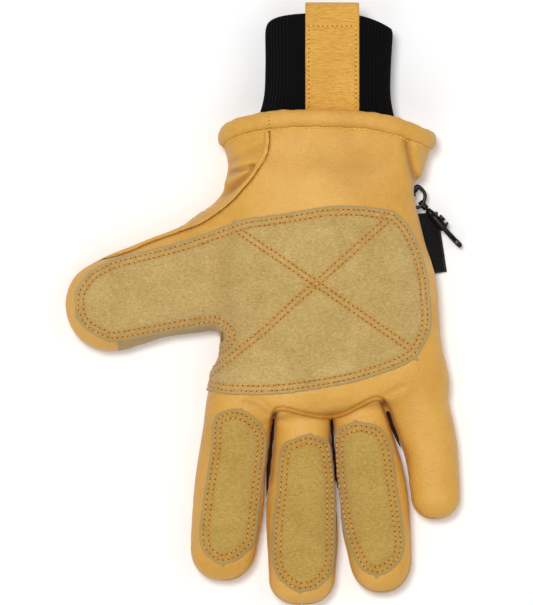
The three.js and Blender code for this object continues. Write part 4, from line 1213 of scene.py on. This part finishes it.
hem_section = (BODY[0][Y] - HEM[1] - 0.5, *BODY[0][1:])
hem_row = section_ring(hem_section, BODY_WIDEST_Z, BODY_SQUARENESS, 400)
hem_up = around(hem_row)[0]
reach = np.linspace(6, -6, 121)
seen = np.stack([sampled(HAND, hem_row + hem_up * r) for r in reach]) < 0
lifted = hem_row + hem_up * (reach[seen.argmax(axis=0)] + 0.15)[:, None]
closed = [np.vstack([table, table[:1]]) for table in (lifted, hem_up)]
hem_shapes = sew(*closed, 2.7, 0.45, share=0.82)
# The wrist seam's own stitches run on over the hem.
i = (np.abs(mouth[:, 0] - WRIST_SEAM[1][0]) + 100 * (mouth[:, 2] < BODY_WIDEST_Z)).argmin()
bow = np.radians(np.linspace(-60, 80, 24))
over = np.cos(bow)[:, None] * outward[i] + np.sin(bow)[:, None] * along_hem[i]
hem_shapes += sew(
    on_hem(i, np.cos(bow), np.sin(bow)), over, 1.8, 0.34, share=0.66, rise=0.15, hole=0.36,
)
stitched("hem", hem_shapes, GOLD, "pigskin")

wrist_row = laid(HAND, evenly(welt_line - welt_side * 0.55, LAY))
wrist_shapes = sew(*wrist_row, 1.9, 0.2, share=0.6, rise=0.1, sink=0.12)
stitched("wrist_seam", wrist_shapes, ORANGE, "trim_leather")


# The knit cuff


def knit_cuff():
    """The outer face from the gauntlet up, the round rim, and part of the inner face."""
    count = RIBS * RIB_POINTS
    rows = smooth_rows(CUFF, 64)
    shape = (CUFF_WIDEST_Z, CUFF_SQUARENESS, count)
    outer = [section_ring(row, *shape, 0.0, CUFF_SHOULDERS) for row in rows[::-1]]
    inner = [section_ring(row, *shape, CUFF_WALL, CUFF_SHOULDERS) for row in rows[:44:2]]
    out = around(outer[-1])[0]
    half = CUFF_WALL / 2
    bends = np.linspace(0, math.pi, 9)[1:-1]
    rim = [
        outer[-1] - out * half * (1 - math.cos(bend)) + (0, half * math.sin(bend), 0)
        for bend in bends
    ]
    wave = RIB_DEPTH * np.cos(np.arange(count) / RIB_POINTS * 2 * math.pi)
    signs = [1] * len(outer) + [math.cos(bend) for bend in bends] + [-1] * len(inner)
    rings = [
        ring + around(ring)[0] * (wave * sign)[:, None]
        for ring, sign in zip(outer + rim + inner, signs)
    ]
    points, faces = sweep(rings, capped=False)
    u = np.tile(np.arange(count) / RIB_POINTS, len(rings))
    v = np.repeat(run_along(np.array(rings)[:, 0]) / 1.1, count)
    return make("rib_cuff", points, faces, [KNIT], uv=np.stack([u, v], axis=1))


dress(knit_cuff(), "glove", "rib_knit", "knit_cuff")


# The pull tab


def cuff_height(x, inset_by):
    """How high the cuff's upper face is at its third section."""
    row = CUFF[2]
    half = (row[RIGHT] - row[LEFT]) / 2 - inset_by
    share = np.abs((x - (row[LEFT] + row[RIGHT]) / 2) / half)
    rise = (1 - share**CUFF_SQUARENESS) ** (1 / CUFF_SQUARENESS)
    return CUFF_WIDEST_Z + rise * (row[TOP] - inset_by - CUFF_WIDEST_Z)


def tab_wrinkle(x, y, aside, creases):
    """How far the tab's outer face stands out at a point: creases, and dents along its stitches."""
    wave = 0.0
    for centre, depth, phase in creases:
        line = centre + 0.9 * math.sin(x * 0.35 + phase)
        wave -= depth * hump(y - line, 0.55) * (0.5 + 0.5 * math.sin(x * 0.6 + phase))
    wave -= 0.28 * hump(abs(aside) - TAB_ROW, 0.6) * (y < TAB["row"])
    return wave - 0.3 * hump(y - TAB["row"], 0.7)


def pull_tab():
    """The tab over the cuff's edge: up its outer face, round the bend and down its inner one."""
    half, thick = TAB["width"] / 2, TAB["thick"]
    outside = -TAB_LIFT[0] - thick / 2
    inside = CUFF_WALL + TAB_LIFT[1] + thick / 2
    middle, bend = (outside + inside) / 2, (inside - outside) / 2
    quarter = math.pi / 2
    stops = [(y, quarter) for y in np.arange(TAB["start"], TAB["bend"], 0.7)]
    stops += [(TAB["bend"], angle) for angle in np.linspace(quarter, -quarter, 17)]
    stops += [(y, -quarter) for y in np.arange(TAB["bend"] - 1, TAB["end"], -1.5)]
    across = np.concatenate([[-half], np.linspace(-half + 0.3, half - 0.3, 31), [half]])
    edge = np.concatenate([[0.35], [0.85], np.ones(29), [0.85], [0.35]])
    dice = np.random.default_rng(11)
    creases = [
        (dice.uniform(95, 139), dice.uniform(0.2, 0.5), dice.uniform(0, 6)) for _ in range(30)
    ]
    rings = []
    for y, angle in stops:
        top, low = [], []
        for aside, thin in zip(across, edge):
            x = TAB["x"] + aside
            wave = tab_wrinkle(x, y, aside, creases) if angle == quarter else 0.0
            for face, radius in (
                (top, bend + thick / 2 * thin + wave), (low, bend - thick / 2 * thin),
            ):
                z = cuff_height(x, middle - math.sin(angle) * radius)
                face.append((x, y + math.cos(angle) * radius, z))
        rings.append(top + low[::-1])
    return plain_leather("cuff_tab", sweep(rings), TAB_LEATHER, "trim_leather", "pull_tab")


tab = pull_tab()
tab_points = np.array([v.co[:] for v in tab.data.vertices]) / MM
tab_tree = BVHTree.FromPolygons(tab_points.tolist(), [list(p.vertices) for p in tab.data.polygons])


def on_tab(line):
    """A line in plan laid on the tab's outer face."""
    hits = [tab_tree.ray_cast(Vector((x, y, 90)), Vector((0, 0, -1))) for x, y in line]
    hits = [hit for hit in hits if hit[0] is not None]
    return np.array([hit[0][:] for hit in hits]), np.array([hit[1][:] for hit in hits])


left, right = TAB["x"] - TAB_ROW, TAB["x"] + TAB_ROW
tab_shapes = []
for line in (
    [(left, TAB_ROW_START), (left, TAB["row"])],
    [(right, TAB_ROW_START), (right, TAB["row"])],
    [(left, TAB["row"]), (right, TAB["row"])],
):
    row = on_tab(evenly(line, LAY))
    tab_shapes += sew(*row, 2.3, 0.42, share=0.66, rise=0.16, sink=0.2, hole=0.42)
stitched("cuff_tab", tab_shapes, GOLD, "trim_leather")


# The side label: y, and the x of its seam and of its outer edge, for three sections
LABEL = [(45.1, 77.0, 88.8), (31.6, 79.9, 91.0), (14.4, 85.4, 93.6)]
LABEL_THICK = 0.7
LABEL_Z = (8.6, 0.9)  # its height at the seam and at its outer edge
LABEL_BORDER = 1.0


def side_label():
    seam_z, rest_z = LABEL_Z
    sections = smooth_rows(LABEL, 40)
    shares = np.linspace(0, 1, 20)
    rings, border = [], []
    for i, (y, seam, outer) in enumerate(sections):
        lift = rest_z + (seam_z - rest_z) * (1 - shares) ** 2 + 0.12 * np.sin(i * 0.5) * shares
        x, along = seam + (outer - seam) * shares, y + 1.3 * shares
        top = np.stack([x, along, lift + LABEL_THICK / 2], axis=1)
        under = np.stack([x, along, lift - LABEL_THICK / 2], axis=1)
        rings.append(np.vstack([top, under[::-1]]))
        rim = min(i, len(sections) - 1 - i) * 0.75
        side = np.minimum((1 - shares) * (outer - seam), rim) < LABEL_BORDER
        border += [*side, *side[::-1]]
    points, faces = sweep(rings)
    numbers = {"border": [*border, 0, 0]}
    return make("woven_tag", points, faces, [WOVEN], numbers=numbers, uv=points[:, :2])


tag = dress(side_label(), "glove", "woven_label", "side_label")


# The snap hook, in its own frame with X from the ring to the tip


def placed(points):
    c, s = math.cos(CLIP["turn"]), math.sin(CLIP["turn"])
    x, y, z = np.asarray(points, float).T
    return np.stack([CLIP["x"] + c * x - s * y, CLIP["y"] + s * x + c * y, CLIP["z"] + z], axis=1)


def turned(profile, sides=32):
    """A shape turned about X from (x, radius) pairs."""
    c, s = circle(sides)
    return sweep([np.stack([np.full(sides, x), r * c, r * s], axis=1) for x, r in profile])


def rounded_bar(x0, x1, y0, y1, z0, z1, soft):
    """A block with soft edges, as rings of a rounded rectangle along X."""
    corners = [
        (y1 - soft, z1 - soft, 0), (y0 + soft, z1 - soft, 90), (y0 + soft, z0 + soft, 180),
        (y1 - soft, z0 + soft, 270),
    ]
    ring = np.array([
        (y + soft * math.cos(a), z + soft * math.sin(a))
        for y, z, start in corners for a in np.radians(start + np.linspace(0, 90, 4))
    ])
    centre = ring.mean(axis=0)
    ends = [(0, 0.8), (0.12, 0.93), (soft, 1)]
    stops = [(x0 + step, share) for step, share in ends]
    stops += [(x1 - step, share) for step, share in ends[::-1]]
    return sweep([
        np.column_stack([np.full(len(ring), x), centre + (ring - centre) * share])
        for x, share in stops
    ])


def clip_piece(name, shapes, body, node):
    shapes = [(placed(points), faces, 0, 0.5) for points, faces in shapes]
    dress(joined(name, shapes, [PLASTIC]), body, "black_plastic", node)


# The ring's middle line in plan, half its width there and half its height
EYE = [
    (-0.3, 0.0, 0.9, 0.9), (-1.2, 1.8, 0.85, 0.9), (-2.1, 3.2, 0.85, 0.9), (-3.4, 4.4, 0.85, 0.9),
    (-5.2, 4.9, 0.85, 0.9), (-7.2, 4.8, 0.95, 0.9), (-8.7, 4.1, 1.2, 0.9), (-8.5, 1.8, 1.4, 0.9),
    (-8.5, -1.8, 1.4, 0.9), (-8.7, -4.1, 1.2, 0.9), (-7.2, -4.8, 0.95, 0.9),
    (-5.2, -4.9, 0.85, 0.9), (-3.0, -4.5, 0.85, 0.9), (-1.4, -3.4, 0.85, 0.9),
    (-0.5, -1.9, 0.85, 0.9),
]
# The bend of the hook, as x and z
HOOK = [
    (14.6, -1.6), (16.6, -4.2), (18.6, -6.9), (22.4, -8.1), (25.8, -7), (27.8, -4.2), (27.2, -1),
]
# What is turned about the hook's axis, as x and radius
COLLAR = [
    (-0.3, 1.05), (-0.3, 1.4), (-0.1, 1.57), (2.4, 1.57), (2.6, 1.4), (2.6, 1.0), (0.4, 1.0),
]
SWIVEL_PIN = [
    (-2.5, 0.6), (-2.5, 1.1), (-2.2, 1.35), (-1.3, 1.35), (-1, 1.1), (-1, 0.7), (3.6, 0.7),
]
BARREL = [
    (3.1, 0.7), (3.1, 1.2), (3.3, 1.42), (5.2, 1.8), (6.3, 2.0), (6.4, 1.9), (6.6, 1.9),
    (6.7, 2.05), (9.6, 2.1), (15.9, 2.15), (16.2, 2.1), (16.4, 1.9), (16.4, 1.4), (15.0, 1.4),
]
BOLT = [(10.6, 0.9), (10.8, 1.1), (23.7, 1.1), (23.9, 0.9)]
HOOK_RADIUS = 1.3
# Bars with soft edges: from and to in x, y and z, and how soft
BARREL_STOP = (14.5, 16.0, 1.5, 3.3, -0.7, 0.7, 0.3)
HOOK_END = (24.2, 28, -1.25, 1.25, -1.25, 1.25, 0.3)
KNOB_STEM = (9.9, 12.8, 0.2, 3.0, -0.75, 0.75, 0.2)
KNOB = (9.6, 13.1, 2.4, 3.5, -1.5, 1.5, 0.35)


def eye_ring():
    table = curve(EYE, 0.4, closed=True)
    c, s = (squared(share, 0.8) for share in circle(16))
    rings = []
    for (x, y, half, high), (sx, sy) in zip(table, normals_of(table[:, :2], True)):
        aside = 1.1 * half * c
        rings.append(np.column_stack([x + sx * aside, y + sy * aside, 1.05 * high * s]))
    return sweep(rings, loop=True)


hook_path = np.insert(curve(HOOK, 0.5), 1, 0, axis=1)
clip_piece("swivel_eye", [eye_ring(), turned(COLLAR)], "glove", "clip_ring")
clip_piece("snap_hook", [
    turned(SWIVEL_PIN), turned(BARREL), rounded_bar(*BARREL_STOP),
    tube(hook_path, HOOK_RADIUS, sides=16, up=(0.0, 1.0, 0.0)), rounded_bar(*HOOK_END),
], "hook", "clip_hook")
clip_piece("sliding_bolt", [
    turned(BOLT), rounded_bar(*KNOB_STEM), rounded_bar(*KNOB),
], "bolt", "clip_bolt")


# The webbing loop, in the snap hook's frame: its place, its half-round ends, thickness and width
LOOP = {"x": -8.3, "y": -1.3, "near": 0.3, "far": -7.6, "hole": 1.2, "thick": 1.0, "width": 4.2}


def webbing_loop():
    half, thick, step = LOOP["width"] / 2, LOOP["thick"], 0.6
    radius = LOOP["hole"] + thick / 2
    turn = np.linspace(-math.pi / 2, math.pi / 2, 20)
    arc = [
        (end + radius * math.cos(a), radius * math.sin(a))
        for end, angles in ((LOOP["near"], turn), (LOOP["far"], turn + math.pi)) for a in angles
    ]
    line = evenly(arc, step, closed=True)
    across = np.linspace(-half, half, 9)
    rings, uv = [], []
    for i, ((x, z), (nx, nz)) in enumerate(zip(line, normals_of(line, True))):
        ring = []
        for face in (1, -1):
            for y in across[::face]:
                out = face * 0.5 * thick * (1 - 0.5 * (abs(y) / half) ** 6)
                ring.append((LOOP["x"] + x + nx * out, LOOP["y"] + y, z + nz * out))
                uv.append((i * step, y))
        rings.append(ring)
    points, faces = sweep(rings, loop=True)
    numbers = {"border": np.zeros(len(points))}
    return make("hanging_loop", placed(points), faces, [WEBBING], numbers=numbers, uv=uv)


dress(webbing_loop(), "glove", "webbing", "hang_loop")


# Floor, light and camera, in metres

PHOTO_SIZE = (533, 605)
PIXEL = 0.000508  # in the palm's mean height
CAMERA = (0.001524, 0.0, 3.0)
MEAN_HEIGHT = 0.015
SENSOR = 24.0
FLOOR_HALF = 2.5
FLOOR_COLOUR = (0.95, 0.95, 0.95, 1)
WORLD_LIGHT = 0.22
# Name, place, width and power of each lamp
LAMPS = [
    ("key", (-0.35, 0.5, 3.3), 0.8, 64), ("fill", (0.9, 0.1, 1.7), 1.2, 4),
    ("front", (-0.2, -1.0, 1.6), 1.2, 4),
]

floor_look = Look("floor", roughness=0.9, Emission_Color=(1, 1, 1, 1), Emission_Strength=0.13)
floor_corners = np.array([(-1, -1, 0), (1, -1, 0), (1, 1, 0), (-1, 1, 0)]) * FLOOR_HALF / MM
make("floor", floor_corners, [[0, 1, 2, 3]], [floor_look.done(FLOOR_COLOUR)])

for name, place, width, power in LAMPS:
    light = bpy.data.lights.new(name, "AREA")
    light.shape, light.size, light.energy = "DISK", width, power
    lamp = bpy.data.objects.new(name, light)
    lamp.location = place
    lamp.rotation_euler = (-Vector(place)).to_track_quat("-Z", "Y").to_euler()
    bpy.context.scene.collection.objects.link(lamp)
world = bpy.data.worlds.new("studio")
world.use_nodes = True
background = world.node_tree.nodes["Background"]
background.inputs["Color"].default_value = (1, 1, 1, 1)
background.inputs["Strength"].default_value = WORLD_LIGHT
bpy.context.scene.world = world
bpy.context.scene.view_settings.view_transform = "Standard"

lens = bpy.data.cameras.new("camera")
lens.sensor_fit = "VERTICAL"
lens.sensor_height = SENSOR
lens.lens = SENSOR * (CAMERA[2] - MEAN_HEIGHT) / (PHOTO_SIZE[1] * PIXEL)
lens.clip_start, lens.clip_end = 0.05, 20
camera = bpy.data.objects.new("camera", lens)
camera.location = CAMERA
bpy.context.scene.collection.objects.link(camera)
bpy.context.scene.camera = camera

bpy.context.view_layer.update()
